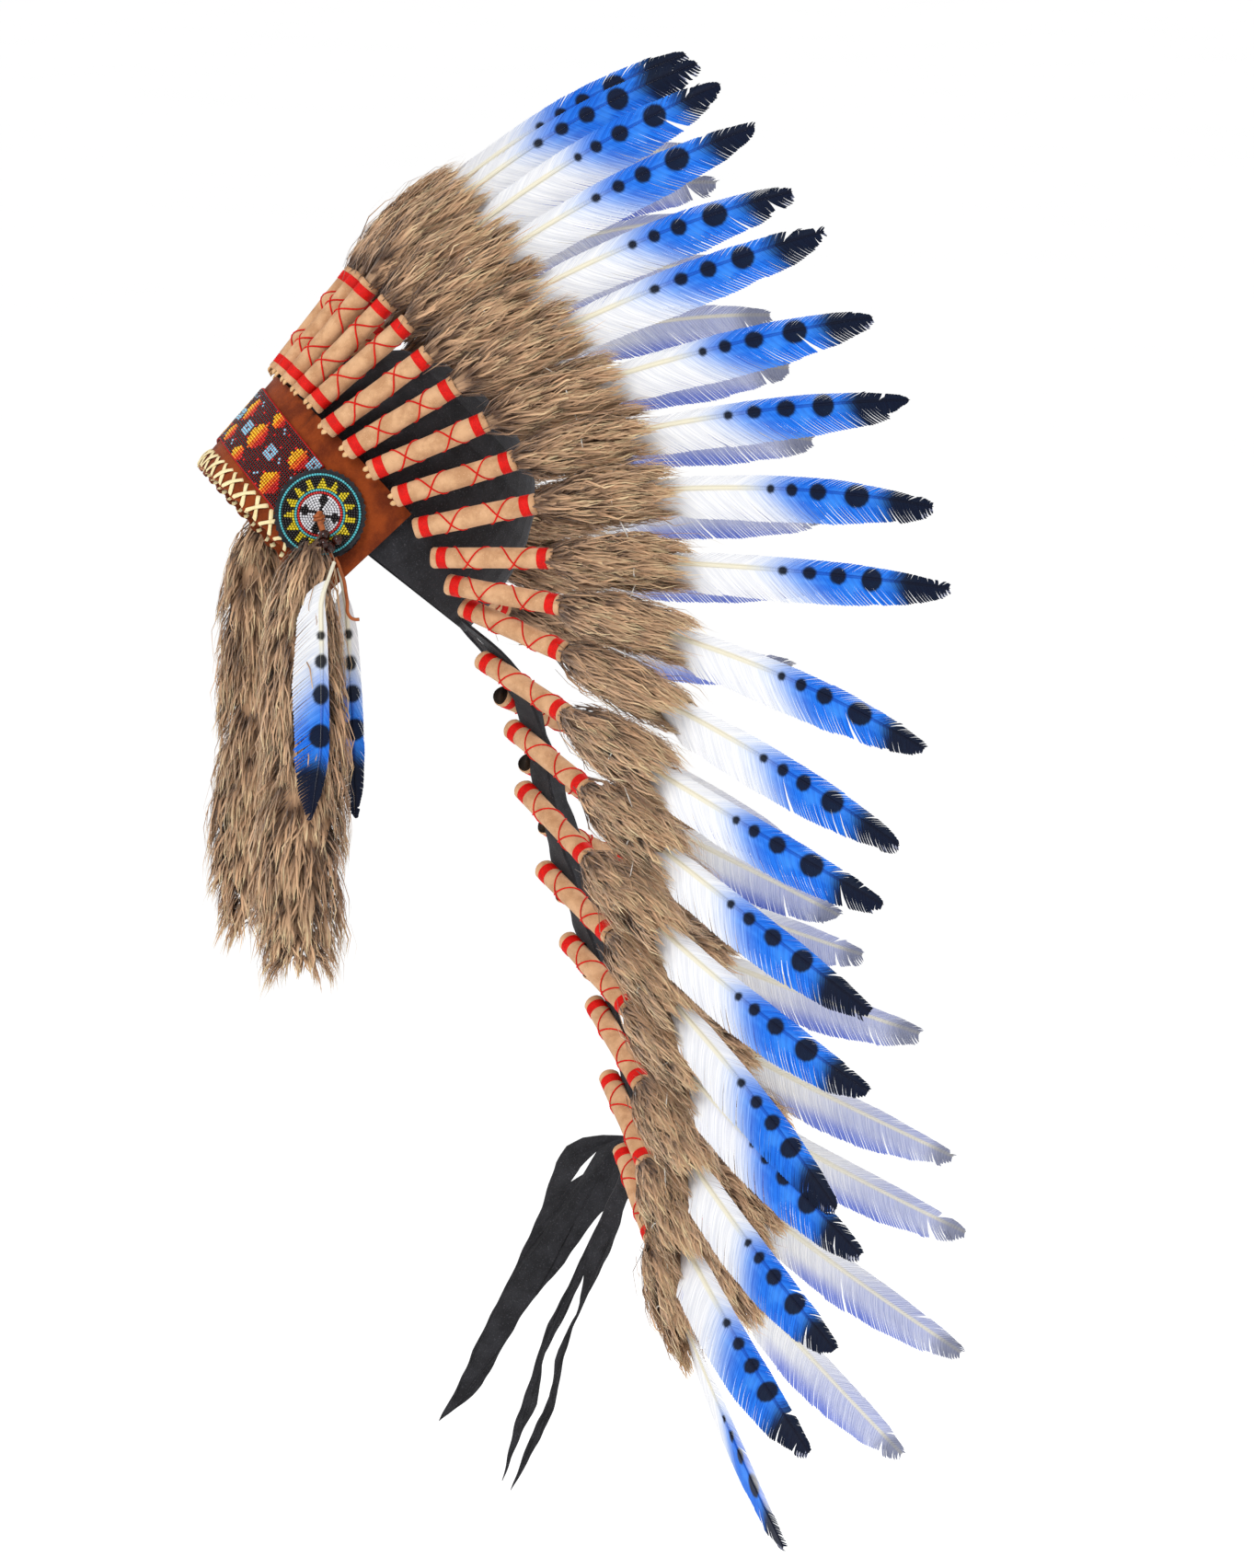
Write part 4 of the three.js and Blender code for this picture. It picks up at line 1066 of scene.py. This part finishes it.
# ---- felt and suede: the cap, the band, the trail strips and the ties ----
def soft_copy(name, node, material, levels, wave):
    """A finer copy of a thin CAD node, with the soft unevenness of cloth (wave, metres)."""
    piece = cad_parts[node].copy()
    piece.data = piece.data.copy()
    piece.name = name
    for key in list(piece.keys()):
        del piece[key]
    link(piece)
    joined = bmesh.new()
    joined.from_mesh(piece.data)
    bmesh.ops.remove_doubles(joined, verts=joined.verts, dist=1e-6)
    joined.to_mesh(piece.data)
    joined.free()
    finer = piece.modifiers.new("finer", "SUBSURF")
    finer.subdivision_type, finer.levels, finer.render_levels = "SIMPLE", levels, levels
    bpy.context.view_layer.update()
    shown = piece.evaluated_get(bpy.context.evaluated_depsgraph_get())
    mesh = bpy.data.meshes.new_from_object(shown)
    piece.modifiers.clear()
    piece.data = mesh
    co = np.zeros(len(mesh.vertices) * 3, np.float32)
    mesh.vertices.foreach_get("co", co)
    p = co.reshape(-1, 3).astype(float)
    x, y, z = p[:, 0].copy(), p[:, 1].copy(), p[:, 2].copy()
    p[:, 0] += wave * (np.sin(z * 160 + 4 * y) + 0.6 * np.sin(y * 410 + z * 230))
    p[:, 1] += 0.5 * wave * np.sin(z * 290 + x * 210)
    mesh.vertices.foreach_set("co", p.astype(np.float32).ravel())
    mesh.materials.clear()
    mesh.materials.append(material)
    mesh.update()
    return ride_root(piece, [node])


soft_copy("cap_felt", "skull_cap", FELT, 1, 0.0002)
soft_copy("band_suede", "brow_band", SUEDE, 1, 0.00012)
SHEETS = [  # piece, CAD node, flat width, length and area in metres, what it hangs from
    ("trail_felt_left", "trail_left", 0.0205, 0.428, None, "cap_felt"),
    ("trail_felt_right", "trail_right", 0.02, 0.465, None, "cap_felt"),
    ("tie_felt_left", "tie_left", 0.04, 0.24, 0.0045, "trail_felt_left"),
    ("tie_felt_right", "tie_right", 0.055, 0.27, 0.0082, "trail_felt_right"),
]
for name, node, width, length, area, hangs_from in SHEETS:
    strip = soft_copy(name, node, FELT, 2, 0.0006)


# ---- white lacing thread from tuft to tuft, from the third crown feather on ----
for side, word in ((1, "left"), (-1, "right")):
    pile = Pile()
    for row in (crown_units(side)[2:], trail_units(side)):
        knots = []
        for i, u in enumerate(row):
            s = np.array([138.0 + 6 * math.sin(2.1 * i)])
            _, across, face = u.axes(s, False)
            for off, lift in ((-9, 6), (-2, 14), (3, 14), (9, 7)):
                knots.append(u.at(s)[0] + off * across[0] + lift * face[0])
        line = smooth_line(knots, 12 * len(knots))
        pile.rope(line, 0.42, 5)
    pile.piece(f"lacing_thread_{word}", [WHITE_THREAD], "felt")


# ---- floor and light ----
stage = Nodes("pale_floor", roughness=1.0, Specular_IOR_Level=0.0, Emission_Strength=0.36)
stage.colour(stage.mix(stage.noise(stage.place(), 3.0), rgb(250, 250, 250), rgb(254, 254, 254)))
stage.bump(stage.noise(stage.place(), 40.0), 0.0002, 0.1)
FLOOR_REACH, FLOOR_UP = 30, -1.1
floor_mesh = bpy.data.meshes.new("floor")
corners = [(x * FLOOR_REACH, y * FLOOR_REACH, FLOOR_UP) for x, y in ((-1, -1), (1, -1), (1, 1), (-1, 1))]
floor_mesh.from_pydata(corners, [], [(0, 1, 2, 3)])
floor_mesh.materials.append(stage.material)
floor = bpy.data.objects.new("floor", floor_mesh)
link(floor)

world = bpy.data.worlds.new("studio")
world.use_nodes = True
background = world.node_tree.nodes["Background"].inputs
background[0].default_value, background[1].default_value = (1, 1, 1, 1), 0.66
bpy.context.scene.world = world


LIT_POINT = np.array((0, 0.15, -0.1))


def light(name, place, size, watts):
    lamp = bpy.data.objects.new(name, bpy.data.lights.new(name, "AREA"))
    lamp.data.size, lamp.data.energy = size, watts
    place = np.asarray(place, float)
    back = unit(place - LIT_POINT)
    right = unit(np.cross((0, 0, 1), back))
    lamp.matrix_world = axes_matrix(right, np.cross(back, right), back, place)
    link(lamp)


light("key", (2.2, -1.6, 1.9), 1.2, 52)
light("rim", (-1.2, 2.2, 1.6), 1.4, 30)
